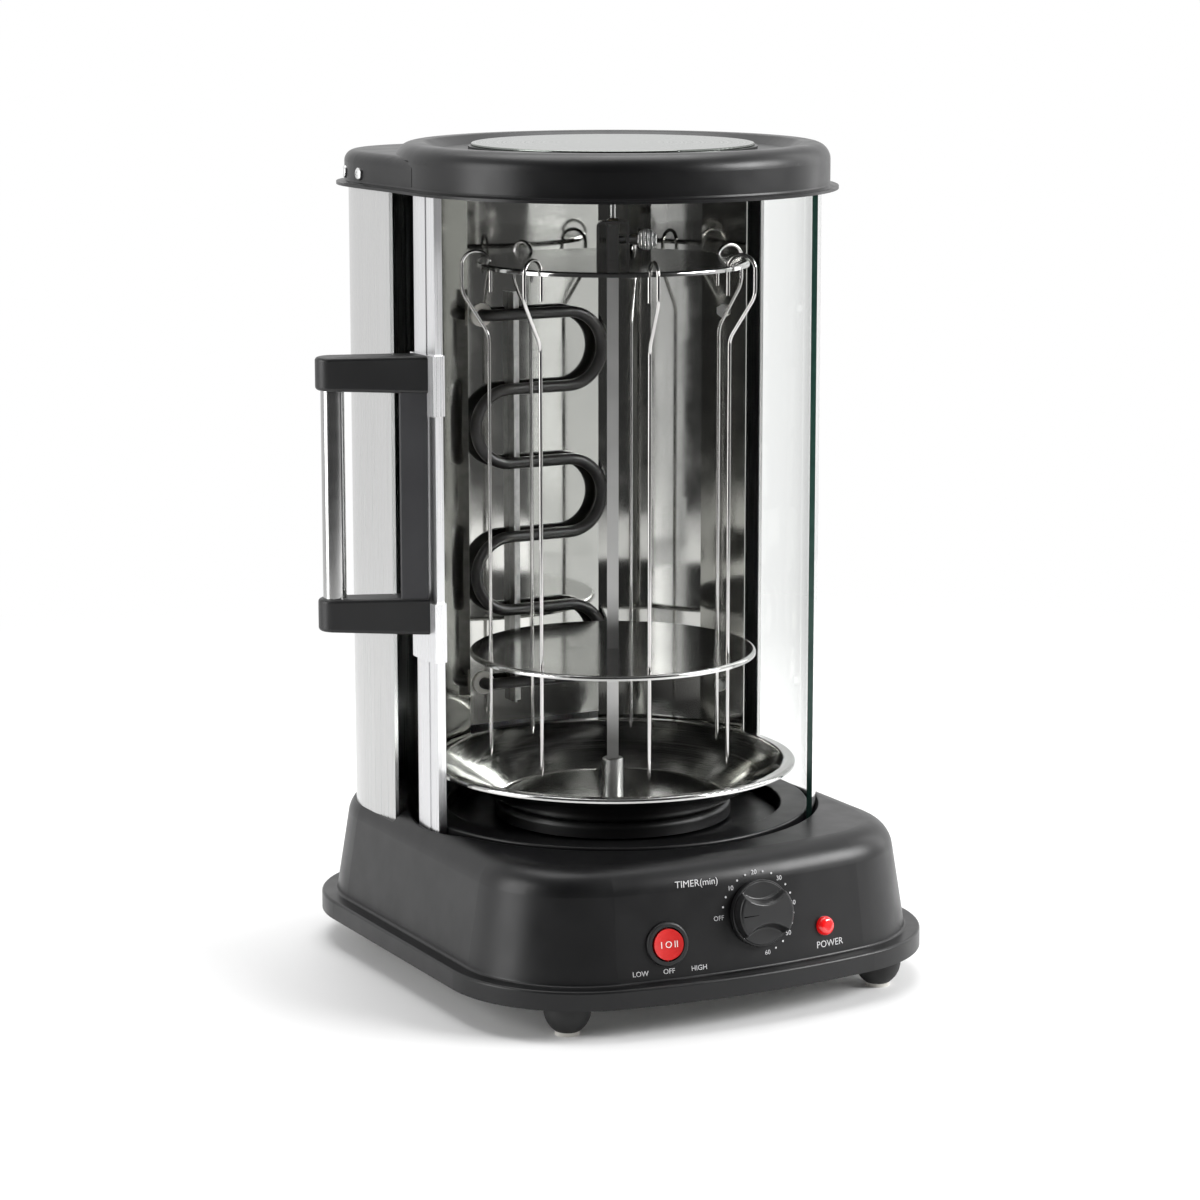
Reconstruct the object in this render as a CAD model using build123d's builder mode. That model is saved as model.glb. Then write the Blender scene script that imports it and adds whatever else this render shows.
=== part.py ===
"""Vertical rotisserie grill: base with controls, rear housing, lid, sliding glass door and turning spit.

Millimetres. Z is the spit's axis and points up from the table, the controls face -Y.
Bearings round the spit are counted from the front towards +X.
"""

import os
from math import asin, cos, degrees, radians, sin, sqrt, tan

from build123d import *

os.makedirs("parts", exist_ok=True)

# Overall
glass_radius = 112.0
base_top = 86.0
chamber_height = 337.5
running_fit = 0.05
seat_gap = 0.3

# Feet
foot_height = 18.0
foot_radius = 12.5
foot_band = 4.2
pad_radius = 6.5
pad_height = 2.0
foot_side_inset = 34.4
foot_front_inset = 24.5
foot_rear_inset = 29.0

# Base
base_side_margin = 16.4
base_front_apron = 39.5
base_rear_apron = 25.0
bow_radius = 420.0
front_corner = 66.0
rear_corner = 62.0
base_wall = 2.5
wall_lean = 9.0
lip_height = 10.4
ledge_width = 8.5
ledge_round = 1.5
shoulder_radius = 16.0
plate_recess = 1.0
plate_sheet = 1.2
post_radius = 4.5
post_inset = 24.0
base_screw_radius = 1.5
base_screw_length = 14.0
vent_length = 22.0
vent_width = 4.0
vent_pitch = 9.0
vent_count = 7

# Glass groove and turntable recess
glass_thickness = 3.0
groove_clearance = 1.4
groove_depth = 9.0
recess_margin = 15.6
recess_depth = 7.5
turntable_margin = 27.0
rim_round = 1.2
turntable_rise = 2.0
turntable_sheet = 2.0
turntable_round = 3.0
turntable_gap = 1.5

# Drive
motor_radius = 25.0
motor_height = 22.0
motor_round = 2.0
motor_ear_reach = 31.0
motor_ear_radius = 5.0
motor_screw_radius = 1.75
drive_shaft_radius = 3.5
drive_shaft_sink = 14.0
hub_radius = 9.0
hub_hole_clearance = 2.0

# Controls on the front wall
knob_x = 8.0
knob_z = 56.0
knob_radius = 17.5
knob_skirt = 3.2
knob_height = 9.0
knob_bar = 9.0
knob_gap = 0.6
knob_step = 0.8
knob_taper = 4.0
knob_round = 1.5
scoop_taper = 8.0
timer_bush_radius = 6.0
timer_stem_radius = 3.0
timer_width = 34.0
timer_corner = 3.0
timer_setback = 1.2
timer_depth = 24.0
rocker_x = -46.0
rocker_z = 46.0
bezel_radius = 11.6
bezel_rise = 2.0
bezel_round = 1.2
switch_barrel_radius = 10.0
switch_depth = 16.0
rocker_radius = 8.1
rocker_clearance = 0.9
rocker_pivot_depth = 1.5
rocker_pin_radius = 1.2
rocker_crown = 1.4
rocker_root = 3.0
pin_socket_wall = 0.4
lamp_x = 48.5
lamp_z = 43.5
lens_radius = 5.1
lens_rise = 3.6
lens_edge = 0.8
lens_stem_radius = 4.0
lamp_body_radius = 6.5
lamp_body_depth = 16.0
gland_x = 58.0
gland_z = 48.0
gland_radius = 8.0
gland_length = 12.0
gland_taper = 12.0
gland_bore = 3.6

# Rear housing
housing_margin = 6.2
housing_rear_margin = 14.6
housing_corner_inset = 56.0
housing_sheet = 0.8
housing_crease_lead = 13.6
housing_edge_lead = 22.0
housing_edge_tuck = 2.2
housing_fold = 2.0
housing_seat_drop = 6.5
seat_wall = 1.8

# Lid
lid_wall = 1.5
lid_fit = 0.6
lid_skirt_gap = 1.6
lid_lip = 4.6
lid_lip_sheet = 1.5
cove_radius = 3.0
lid_crown_height = 24.5
lid_rear_height = 18.5
crown_round = 9.0
rear_round = 6.0
lid_block_front = 5.0
lid_lap = 5.0
trough_round = 3.0
disc_margin = 18.5
disc_sheet = 1.5
disc_sink = 2.0
trough_rim = 15.0
trough_slope = 7.0
trough_depth = 4.5
liner_sheet = 1.5
liner_height = 4.0
liner_ring = 2.0
bush_radius = 6.0
bush_drop = 6.0
bush_chamfer = 1.0
lid_screw_radius = 1.25
lid_screw_head = 2.3
lid_screw_height = 7.0
lid_screw_setback = 7.0
lid_screw_turn = 16.0
lid_screw_taper = 30.0

# Reflector and heater
reflector_clearance = 1.2
reflector_sheet = 0.8
reflector_bearings = (106.0, 123.0, 140.0, 156.6)
pan_notch_gap = 3.0
heater_radius = 3.3
heater_overhang = 1.9
heater_runs = 6
heater_pitch = 42.0
heater_top_drop = 76.0
heater_standoff = 6.8
heater_bend = 5.0
heater_tail_inset = 10.0
heater_tail_out = 4.0
heater_bush_radius = 5.0
heater_bush_lip = 1.5
heater_bush_flange = 1.5
heater_bush_tail = 2.5
bracket_x = -16.0
bracket_sheet = 1.2
bracket_end = 12.0
bracket_lip = 5.0
bolt_radius = 2.0
bolt_head_radius = 3.6
bolt_head = 2.4
bolt_tail = 2.2
bolt_drop_top = 10.0
bolt_drop_middle = 75.0
bolt_drop_bottom = 290.0

# Door and handle
door_bearing = -90.0
door_span = 222.0
door_head_gap = 1.0
profile_width = 25.0
profile_skin = 0.9
profile_groove = 0.4
clip_sheet = 2.5
clip_overlap = 2.0
clip_height = 32.0
upper_clip_drop = 21.8
lower_clip_drop = 24.8
upper_arm_level = 329.8
lower_arm_level = 200.8
arm_height = 17.5
arm_root_height = 20.0
arm_width = 17.0
arm_length = 55.0
arm_sweep = 28.0
arm_round = 2.0
grip_radius = 6.3
grip_wall = 1.2
grip_sink = 6.0
grip_from_end = 9.0

# Spit
spit_turn = -28.0
pan_clearance = 3.1
pan_slope = 38.5
pan_rim = 5.5
pan_height = 22.5
pan_sheet = 0.8
pan_edge = 2.5
pan_round = 4.0
socket_radius = 5.8
socket_height = 21.0
socket_chamfer = 0.5
spit_side = 6.3
spit_fit = 0.1
spit_top = 407.0
spit_chamfer = 1.2
spit_pin_radius = 1.5
lower_plate_z = 170.6
lower_plate_margin = 22.0
upper_plate_z = 383.4
upper_plate_margin = 26.8
plate_thickness = 1.1
plate_rim = 2.6
plate_corner = 0.9
cross_pin_radius = 1.3
cross_pin_length = 17.0
clamp_width = 17.5
clamp_height = 21.0
clamp_depth = 13.0
clamp_sheet = 1.5
thumb_thread_radius = 2.0
thumb_neck_radius = 2.4
thumb_neck = 4.0
thumb_neck_flare = 10.0
paddle_radius = 5.6
paddle_thickness = 3.2
paddle_sink = 0.6
paddle_ribs = 5
paddle_rib_pitch = 2.0
paddle_rib_gap = 0.8
paddle_rib_depth = 0.5
thumb_height = 11.0

# Skewers
skewer_count = 7
skewer_first = -114.0
skewer_wire = 1.0
skewer_stem_inset = 11.5
skewer_belly_reach = 7.6
skewer_leg_inset = 7.7
skewer_tip_z = 116.0
skewer_bend_drop = 45.0
skewer_shoulder_drop = 22.0
skewer_leg_drop = 22.0
skewer_bend = 14.0
skewer_hole_clearance = 0.5
skewer_point = 4.0
skewer_point_taper = 12.0

# Derived heights
lip_bottom = foot_height - plate_recess
lip_top = lip_bottom + lip_height
plate_top = foot_height + plate_sheet
groove_floor = base_top - groove_depth
recess_floor = base_top - recess_depth
housing_seat = base_top - housing_seat_drop
lid_bottom = base_top + chamber_height
crown_top = lid_bottom + lid_crown_height
rear_top = lid_bottom + lid_rear_height
lid_ceiling = rear_top - lid_wall
housing_top = rear_top - rear_round
disc_seat = crown_top - disc_sink
trough_floor = crown_top - trough_depth
lip_level = lid_bottom + lid_lip_sheet
liner_bottom = lid_bottom + liner_height
liner_top = liner_bottom + liner_sheet
door_bottom = groove_floor + seat_gap
door_top = liner_bottom - door_head_gap
turntable_top = base_top + turntable_rise
pan_floor_top = turntable_top + pan_sheet
pan_top = turntable_top + pan_height
motor_top = recess_floor - base_wall
upper_plate_top = upper_plate_z + plate_thickness

# Derived plan sizes
base_half_width = glass_radius + base_side_margin
base_front = glass_radius + base_front_apron
base_rear = glass_radius + base_rear_apron
glass_inner = glass_radius - glass_thickness
groove_outer = glass_radius + groove_clearance
groove_inner = glass_inner - groove_clearance
recess_radius = groove_inner - recess_margin
turntable_radius = recess_radius - turntable_margin
housing_half_width = glass_radius + housing_margin
fold_x = housing_half_width - housing_edge_tuck - housing_fold
housing_rear = glass_radius + housing_rear_margin
housing_corner = glass_radius - housing_corner_inset
housing_crease_y = housing_rear - housing_corner - housing_crease_lead
housing_edge_y = housing_crease_y - housing_edge_lead
lid_radius = groove_outer + lid_wall + lid_skirt_gap
trough_outer = lid_radius - trough_rim
trough_inner = trough_outer - trough_slope
disc_radius = trough_inner - disc_margin
liner_post_radius = (trough_inner + disc_radius) / 2
lid_half_width = housing_half_width + lid_fit + lid_wall
lid_rear = housing_rear + lid_fit + lid_wall
lid_corner = housing_corner + lid_fit + lid_wall
reflector_radius = groove_inner - liner_ring - reflector_clearance - reflector_sheet
back_plate_y = -reflector_radius * cos(radians(reflector_bearings[-1]))
heater_y = back_plate_y - heater_standoff
heater_half_width = reflector_radius * sin(radians(reflector_bearings[-1])) + heater_overhang
heater_tail_x = heater_tail_inset - heater_half_width
pan_radius = reflector_radius - pan_clearance
pan_floor_radius = pan_radius - pan_slope
lower_plate_radius = pan_radius - lower_plate_margin
upper_plate_radius = pan_radius - upper_plate_margin
skewer_stem = lower_plate_radius - skewer_stem_inset
skewer_belly = upper_plate_radius + skewer_belly_reach
skewer_leg = upper_plate_radius - skewer_leg_inset
heater_top = lid_bottom - heater_top_drop
slope = tan(radians(wall_lean))


def bowed_outline(inset):
    """Base plan: bowed front, straight sides and rounded rear, set in from the foot of the wall."""
    half, front, rear = base_half_width - inset, base_front - inset, base_rear - inset
    bow, near, far = bow_radius - inset, front_corner - inset, rear_corner - inset
    bow_y = bow - front
    corner_x = half - near
    corner_y = bow_y - sqrt((bow - near) ** 2 - corner_x**2)
    reach = bow / (bow - near)
    touch = (corner_x * reach, bow_y + (corner_y - bow_y) * reach)
    with BuildSketch() as plan:
        with BuildLine():
            bowed = ThreePointArc((-touch[0], touch[1]), (0, -front), touch)
            turn = TangentArc(touch, (half, corner_y), tangent=bowed % 1)
            side = Line((half, corner_y), (half, rear - far))
            back = TangentArc((half, rear - far), (half - far, rear), tangent=(0, 1))
            mirror(turn, about=Plane.YZ)
            mirror(side, about=Plane.YZ)
            mirror(back, about=Plane.YZ)
            Line((half - far, rear), (far - half, rear))
        make_face()
    return plan.sketch


def ring_sector(inner, outer, start, end):
    """Part of a flat ring between two bearings."""
    with BuildSketch() as plan:
        with BuildLine():
            far = CenterArc((0, 0), outer, start - 90, end - start)
            near = CenterArc((0, 0), inner, start - 90, end - start)
            Line(near @ 0, far @ 0)
            Line(near @ 1, far @ 1)
        make_face()
    return plan.sketch


def ring(inner, outer):
    """Flat ring round the spit's axis."""
    Circle(outer)
    Circle(inner, mode=Mode.SUBTRACT)


def bearing_point(radius, bearing):
    """Plan point at a radius and a bearing."""
    return (radius * sin(radians(bearing)), -radius * cos(radians(bearing)))


def panel_plane(x, z):
    """Plane on the bowed, leaning front wall, with its normal out of the wall."""
    radius = bow_radius - (z - lip_top) * slope
    turn = asin(x / radius)
    lean = radians(wall_lean)
    y = bow_radius - base_front - radius * cos(turn)
    out = (sin(turn) * cos(lean), -cos(turn) * cos(lean), sin(lean))
    return Plane(origin=(x, y, z), x_dir=(cos(turn), sin(turn), 0), z_dir=out)


def wall_inset(z):
    """How far the leaning wall has come in at a height."""
    return (z - lip_top) * slope


knob_plane = panel_plane(knob_x, knob_z)
rocker_plane = panel_plane(rocker_x, rocker_z)
lamp_plane = panel_plane(lamp_x, lamp_z)
rocker_pivot = rocker_plane.offset(-rocker_pivot_depth).origin
pivot_plane = Plane(rocker_pivot, rocker_plane.x_dir, rocker_plane.y_dir)
gland_plane = Plane(
    origin=(gland_x, base_rear - wall_inset(gland_z), gland_z),
    x_dir=(-1, 0, 0),
    z_dir=(0, cos(radians(wall_lean)), sin(radians(wall_lean))),
)
foot_places = [
    (side * (base_half_width - foot_side_inset), y)
    for y in (foot_front_inset - base_front, base_rear - foot_rear_inset)
    for side in (-1, 1)
]
post_places = [
    (side * (base_half_width - post_inset), y)
    for y in (front_corner - base_front, base_rear - rear_corner)
    for side in (-1, 1)
]
motor_screw_places = [(-motor_ear_reach, 0), (motor_ear_reach, 0)]

# Base shell: leaning walls with a round shoulder, a lip round the foot, a groove and a recess on top
with BuildPart() as base_cavity:
    with BuildSketch(Plane.XY.offset(lip_bottom)):
        add(bowed_outline(base_wall - ledge_width))
    extrude(amount=lip_height - base_wall)
    with BuildSketch(Plane.XY.offset(lip_bottom)):
        add(bowed_outline(base_wall))
    extrude(amount=lip_height)
    with BuildSketch(Plane.XY.offset(lip_top)):
        add(bowed_outline(base_wall))
    extrude(amount=base_top - base_wall - lip_top, taper=wall_lean)
    fillet(base_cavity.edges().group_by(Axis.Z)[-1], shoulder_radius - base_wall)
    with BuildSketch(Plane.XY.offset(groove_floor - base_wall)):
        ring(recess_radius - base_wall, groove_outer + base_wall)
    extrude(amount=groove_depth, mode=Mode.SUBTRACT)
    with BuildSketch(Plane.XY.offset(motor_top)):
        Circle(recess_radius)
    extrude(amount=recess_depth, mode=Mode.SUBTRACT)
    # Solid under the ledge of the rear housing, and in the screw posts
    with BuildSketch(Plane.XY.offset(housing_seat - base_wall)):
        with Locations((0, housing_edge_y - seat_wall - base_wall)):
            Rectangle(4 * base_half_width, 4 * base_rear, align=(Align.CENTER, Align.MIN))
    extrude(amount=housing_seat_drop, mode=Mode.SUBTRACT)
    with BuildSketch(Plane.XY.offset(plate_top)):
        with Locations(*post_places):
            Circle(post_radius)
    extrude(amount=base_top - plate_top, mode=Mode.SUBTRACT)

with BuildPart() as base_shell:
    with BuildSketch(Plane.XY.offset(lip_top)):
        add(bowed_outline(0))
    extrude(amount=base_top - lip_top, taper=wall_lean)
    fillet(base_shell.edges().group_by(Axis.Z)[-1], shoulder_radius)
    with BuildSketch(Plane.XY.offset(lip_bottom)):
        add(bowed_outline(-ledge_width))
    extrude(amount=lip_height)
    fillet(base_shell.edges().filter_by_position(Axis.Z, lip_top, lip_top), ledge_round)
    add(base_cavity.part, mode=Mode.SUBTRACT)
    with BuildSketch(Plane.XY.offset(groove_floor)):
        ring(groove_inner, groove_outer)
    extrude(amount=groove_depth, mode=Mode.SUBTRACT)
    with BuildSketch(Plane.XY.offset(recess_floor)):
        Circle(recess_radius)
    extrude(amount=recess_depth, mode=Mode.SUBTRACT)
    top_edges = base_shell.edges().filter_by_position(Axis.Z, base_top, base_top)
    fillet(top_edges.filter_by(GeomType.CIRCLE).filter_by(lambda edge: edge.radius <= groove_outer), rim_round)
    # Hollow under the rim between recess and groove
    with BuildSketch(Plane.XY.offset(groove_floor - base_wall)):
        ring(recess_radius + base_wall, groove_inner - base_wall)
    extrude(amount=groove_depth, mode=Mode.SUBTRACT)
    # Flat ledge that the rear housing stands on
    with BuildSketch(Plane.XY.offset(housing_seat)):
        with Locations((0, housing_edge_y - seat_wall)):
            Rectangle(4 * base_half_width, 4 * base_rear, align=(Align.CENTER, Align.MIN))
        Circle(groove_outer + seat_wall, mode=Mode.SUBTRACT)
    extrude(amount=housing_seat_drop, mode=Mode.SUBTRACT)
    # Hole for the drive hub and the motor's screws
    with BuildSketch(Plane.XY.offset(motor_top)):
        Circle(hub_radius + hub_hole_clearance)
        with Locations(*motor_screw_places):
            Circle(motor_screw_radius)
    extrude(amount=recess_depth, mode=Mode.SUBTRACT)
    # Holes for the controls and the gland
    for plane, radius in (
        (knob_plane, timer_bush_radius),
        (rocker_plane, switch_barrel_radius),
        (lamp_plane, lens_stem_radius),
        (gland_plane, gland_radius / 2),
    ):
        with BuildSketch(plane):
            Circle(radius)
        extrude(amount=2 * base_wall, both=True, mode=Mode.SUBTRACT)
    with BuildSketch(Plane.XY.offset(plate_top)):
        with Locations(*post_places):
            Circle(base_screw_radius)
    extrude(amount=base_screw_length, mode=Mode.SUBTRACT)
base_shell.part.label = "base_shell"
export_step(base_shell.part, "parts/base_shell.step")

# Bottom plate, set just inside the lip, with two rows of vents under the motor
with BuildPart() as bottom_plate:
    with BuildSketch(Plane.XY.offset(foot_height)):
        add(bowed_outline(base_wall + seat_gap - ledge_width))
        with GridLocations(vent_pitch, 2 * vent_length, vent_count, 2):
            SlotOverall(vent_length, vent_width, rotation=90, mode=Mode.SUBTRACT)
        with Locations(*post_places):
            Circle(base_screw_radius, mode=Mode.SUBTRACT)
    extrude(amount=plate_sheet)
bottom_plate.part.label = "bottom_plate"
export_step(bottom_plate.part, "parts/bottom_plate.step")

with BuildPart() as base_screws:
    with BuildSketch(Plane.XY.offset(foot_height)):
        with Locations(*post_places):
            Circle(base_screw_radius)
    extrude(amount=base_screw_length)
    with BuildSketch(Plane.XY.offset(foot_height)):
        with Locations(*post_places):
            Circle(2 * base_screw_radius)
    extrude(amount=-base_screw_radius)
base_screws.part.label = "base_screws"
export_step(base_screws.part, "parts/base_screws.step")

# Feet: round rubber buttons on pale pads
foot_names = ("front_left", "front_right", "rear_left", "rear_right")
for name, (x, y) in zip(foot_names, foot_places):
    with BuildPart() as foot:
        with BuildSketch(Plane(origin=(x, y, 0), x_dir=(1, 0, 0), z_dir=(0, -1, 0))):
            with BuildLine():
                Line((0, pad_height), (pad_radius, pad_height))
                bulge = TangentArc(
                    (foot_radius, foot_height - foot_band), (pad_radius, pad_height), tangent=(0, -1)
                )
                Line(bulge @ 0, (foot_radius, foot_height))
                Line((foot_radius, foot_height), (0, foot_height))
                Line((0, foot_height), (0, pad_height))
            make_face()
        revolve(axis=Axis((x, y, 0), (0, 0, 1)))
    foot.part.label = "foot_" + name
    export_step(foot.part, "parts/foot_" + name + ".step")
    with BuildPart() as pad:
        with BuildSketch(Plane.XY):
            with Locations((x, y)):
                Circle(pad_radius)
        extrude(amount=pad_height)
    pad.part.label = "pad_" + name
    export_step(pad.part, "parts/pad_" + name + ".step")

# Cable gland in the back wall
with BuildPart() as cable_gland:
    with BuildSketch(gland_plane):
        RegularPolygon(gland_radius, 6, major_radius=False)
    extrude(amount=gland_length / 2)
    with BuildSketch(gland_plane.offset(gland_length / 2)):
        Circle(gland_radius)
    extrude(amount=gland_length / 2, taper=gland_taper)
    with BuildSketch(gland_plane):
        Circle(gland_radius / 2)
    extrude(amount=-gland_length)
    with BuildSketch(gland_plane.offset(gland_length)):
        Circle(gland_bore)
    extrude(amount=-2 * gland_length, mode=Mode.SUBTRACT)
cable_gland.part.label = "cable_gland"
export_step(cable_gland.part, "parts/cable_gland.step")

# Gear motor hung under the recess, with two ears
with BuildPart() as motor:
    with BuildSketch(Plane.XY.offset(motor_top - motor_height)):
        Circle(motor_radius)
    extrude(amount=motor_height)
    fillet(motor.edges().group_by(Axis.Z)[0], motor_round)
    with BuildSketch(Plane.XY.offset(motor_top - plate_sheet)):
        with Locations(*motor_screw_places):
            Circle(motor_ear_radius)
        Rectangle(2 * motor_ear_reach, 2 * motor_ear_radius)
    extrude(amount=plate_sheet)
    with BuildSketch(Plane.XY.offset(motor_top)):
        Circle(drive_shaft_radius + running_fit)
    extrude(amount=-drive_shaft_sink, mode=Mode.SUBTRACT)
    with BuildSketch(Plane.XY.offset(motor_top)):
        with Locations(*motor_screw_places):
            Circle(motor_screw_radius)
    extrude(amount=-plate_sheet, mode=Mode.SUBTRACT)
motor.part.label = "motor"
export_step(motor.part, "parts/motor.step")

with BuildPart() as motor_screws:
    with BuildSketch(Plane.XY.offset(motor_top - plate_sheet)):
        with Locations(*motor_screw_places):
            Circle(motor_screw_radius)
    extrude(amount=plate_sheet + base_wall)
    with BuildSketch(Plane.XY.offset(motor_top - plate_sheet)):
        with Locations(*motor_screw_places):
            Circle(2 * motor_screw_radius)
    extrude(amount=-motor_screw_radius)
motor_screws.part.label = "motor_screws"
export_step(motor_screws.part, "parts/motor_screws.step")

# Drive shaft, from the motor up into the turntable
with BuildPart() as drive_shaft:
    with BuildSketch(Plane.XY.offset(motor_top - drive_shaft_sink + seat_gap)):
        Circle(drive_shaft_radius)
    extrude(amount=turntable_top - turntable_sheet - motor_top + drive_shaft_sink - seat_gap)
drive_shaft.part.label = "drive_shaft"
export_step(drive_shaft.part, "parts/drive_shaft.step")

# Turntable: flat disc with a down-turned skirt and a hub on the drive shaft
with BuildPart() as turntable:
    with BuildSketch(Plane.XZ):
        with BuildLine():
            FilletPolyline(
                (0, turntable_top),
                (turntable_radius, turntable_top),
                (turntable_radius, recess_floor + turntable_gap),
                radius=turntable_round,
            )
            offset(amount=turntable_sheet, side=Side.RIGHT)
        make_face()
    revolve(axis=Axis.Z)
    with BuildSketch(Plane.XY.offset(recess_floor + turntable_gap)):
        ring(drive_shaft_radius, hub_radius)
    extrude(amount=turntable_top - turntable_sheet - recess_floor - turntable_gap)
turntable.part.label = "turntable"
export_step(turntable.part, "parts/turntable.step")

# Timer: a box behind the wall whose bush comes through it, and the knob on its stem
with BuildPart() as timer_body:
    with BuildSketch(knob_plane.offset(-base_wall - timer_setback)):
        RectangleRounded(timer_width, timer_width, timer_corner)
    extrude(amount=-timer_depth)
    with BuildSketch(knob_plane.offset(-base_wall - timer_setback)):
        Circle(timer_bush_radius)
    extrude(amount=base_wall + timer_setback)
    with BuildSketch(knob_plane):
        Circle(timer_stem_radius + running_fit)
    extrude(amount=-timer_depth, mode=Mode.SUBTRACT)
timer_body.part.label = "timer_body"
export_step(timer_body.part, "parts/timer_body.step")

with BuildPart() as timer_knob:
    with BuildSketch(knob_plane.offset(knob_gap)):
        Circle(knob_radius)
    extrude(amount=knob_skirt)
    with BuildSketch(knob_plane.offset(knob_gap + knob_skirt)):
        Circle(knob_radius - knob_step)
    extrude(amount=knob_height - knob_skirt, taper=knob_taper)
    fillet(timer_knob.faces().sort_by(Axis(knob_plane.origin, knob_plane.z_dir))[-1].edges(), knob_round)
    # Two scoops leave the finger bar standing
    for side in (-1, 1):
        with BuildSketch(knob_plane.offset(knob_gap + knob_skirt)):
            with Locations((0, side * (knob_bar / 2 + knob_radius))):
                Circle(knob_radius)
        extrude(amount=knob_height, taper=-scoop_taper, mode=Mode.SUBTRACT)
    with BuildSketch(knob_plane.offset(knob_gap)):
        Circle(timer_stem_radius)
    extrude(amount=seat_gap - timer_depth)
timer_knob.part.label = "timer_knob"
export_step(timer_knob.part, "parts/timer_knob.step")

# Rocker switch: round body snapped into the wall, and the rocker on its two pivot pins
with BuildPart() as switch_body:
    with BuildSketch(rocker_plane):
        Circle(bezel_radius)
    extrude(amount=bezel_rise)
    fillet(switch_body.faces().sort_by(Axis(rocker_plane.origin, rocker_plane.z_dir))[-1].edges(), bezel_round)
    with BuildSketch(rocker_plane):
        Circle(switch_barrel_radius)
    extrude(amount=-switch_depth)
    with BuildSketch(rocker_plane.offset(bezel_rise)):
        Circle(rocker_radius + rocker_clearance)
    extrude(amount=-bezel_rise - rocker_radius, mode=Mode.SUBTRACT)
    with BuildSketch(pivot_plane):
        Circle(rocker_pin_radius + running_fit)
    extrude(amount=switch_barrel_radius - pin_socket_wall, both=True, mode=Mode.SUBTRACT)
switch_body.part.label = "switch_body"
export_step(switch_body.part, "parts/switch_body.step")

with BuildPart() as rocker:
    with BuildSketch(rocker_plane.offset(-rocker_pivot_depth - rocker_root)):
        Circle(rocker_radius)
    extrude(amount=rocker_pivot_depth + rocker_root + bezel_rise + rocker_crown)
    # The face dips a little towards the middle, so that each end stands up to be pressed
    dish = 4 * rocker_radius
    with BuildSketch(Plane(rocker_pivot, rocker_plane.x_dir, -rocker_plane.y_dir)):
        with Locations((0, rocker_pivot_depth + bezel_rise + dish)):
            Circle(dish)
    extrude(amount=2 * rocker_radius, both=True, mode=Mode.SUBTRACT)
    with BuildSketch(pivot_plane):
        Circle(rocker_pin_radius)
    extrude(amount=switch_barrel_radius - 2 * pin_socket_wall, both=True)
rocker.part.label = "rocker"
export_step(rocker.part, "parts/rocker.step")

# Lamp: domed lens in the wall and its holder behind
with BuildPart() as lamp_lens:
    with BuildSketch(lamp_plane):
        Circle(lens_radius)
    extrude(amount=lens_rise)
    fillet(lamp_lens.faces().sort_by(Axis(lamp_plane.origin, lamp_plane.z_dir))[-1].edges(), lens_rise - lens_edge)
    with BuildSketch(lamp_plane):
        Circle(lens_stem_radius)
    extrude(amount=-base_wall)
lamp_lens.part.label = "lamp_lens"
export_step(lamp_lens.part, "parts/lamp_lens.step")

with BuildPart() as lamp_body:
    with BuildSketch(lamp_plane.offset(-base_wall - seat_gap)):
        Circle(lamp_body_radius)
    extrude(amount=-lamp_body_depth)
lamp_body.part.label = "lamp_body"
export_step(lamp_body.part, "parts/lamp_body.step")


def housing_outline(inset):
    """Closed plan of the rear housing: rounded back, creased sides, straight across the front."""
    half, rear, corner = housing_half_width - inset, housing_rear - inset, housing_corner - inset
    edge_x = housing_half_width - housing_edge_tuck - inset
    with BuildSketch() as plan:
        with BuildLine():
            side = Polyline(
                (edge_x, housing_edge_y + inset), (half, housing_crease_y), (half, rear - corner)
            )
            back = TangentArc((half, rear - corner), (half - corner, rear), tangent=(0, 1))
            mirror(side, about=Plane.YZ)
            mirror(back, about=Plane.YZ)
            Line((half - corner, rear), (corner - half, rear))
            Line((edge_x, housing_edge_y + inset), (-edge_x, housing_edge_y + inset))
        make_face()
    return plan.sketch


def lid_outline(grow):
    """Closed plan of the lid: half circle in front, housing plan behind."""
    front, half, rear, corner = lid_radius + grow, lid_half_width + grow, lid_rear + grow, lid_corner + grow
    with BuildSketch() as plan:
        with BuildLine():
            ThreePointArc((-front, 0), (0, -front), (front, 0))
            side = Spline((front, 0), (half, rear - corner), tangents=((0, 1), (0, 1)))
            back = TangentArc((half, rear - corner), (half - corner, rear), tangent=(0, 1))
            mirror(side, about=Plane.YZ)
            mirror(back, about=Plane.YZ)
            Line((half - corner, rear), (corner - half, rear))
        make_face()
    return plan.sketch


# Two lid screws at each rear corner: one on the flat side, one round the corner
lid_screw_z = lid_bottom + lid_screw_height
corner_centre = (lid_half_width - lid_corner, lid_rear - lid_corner)
lid_screw_planes = []
for side in (-1, 1):
    turn = radians(lid_screw_turn)
    around = (cos(turn), sin(turn))
    lid_screw_planes.append(
        Plane((side * lid_half_width, corner_centre[1] - lid_screw_setback, lid_screw_z), (0, 0, 1), (side, 0, 0))
    )
    lid_screw_planes.append(
        Plane(
            (
                side * (corner_centre[0] + lid_corner * around[0]),
                corner_centre[1] + lid_corner * around[1],
                lid_screw_z,
            ),
            (0, 0, 1),
            (side * around[0], around[1], 0),
        )
    )

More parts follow.
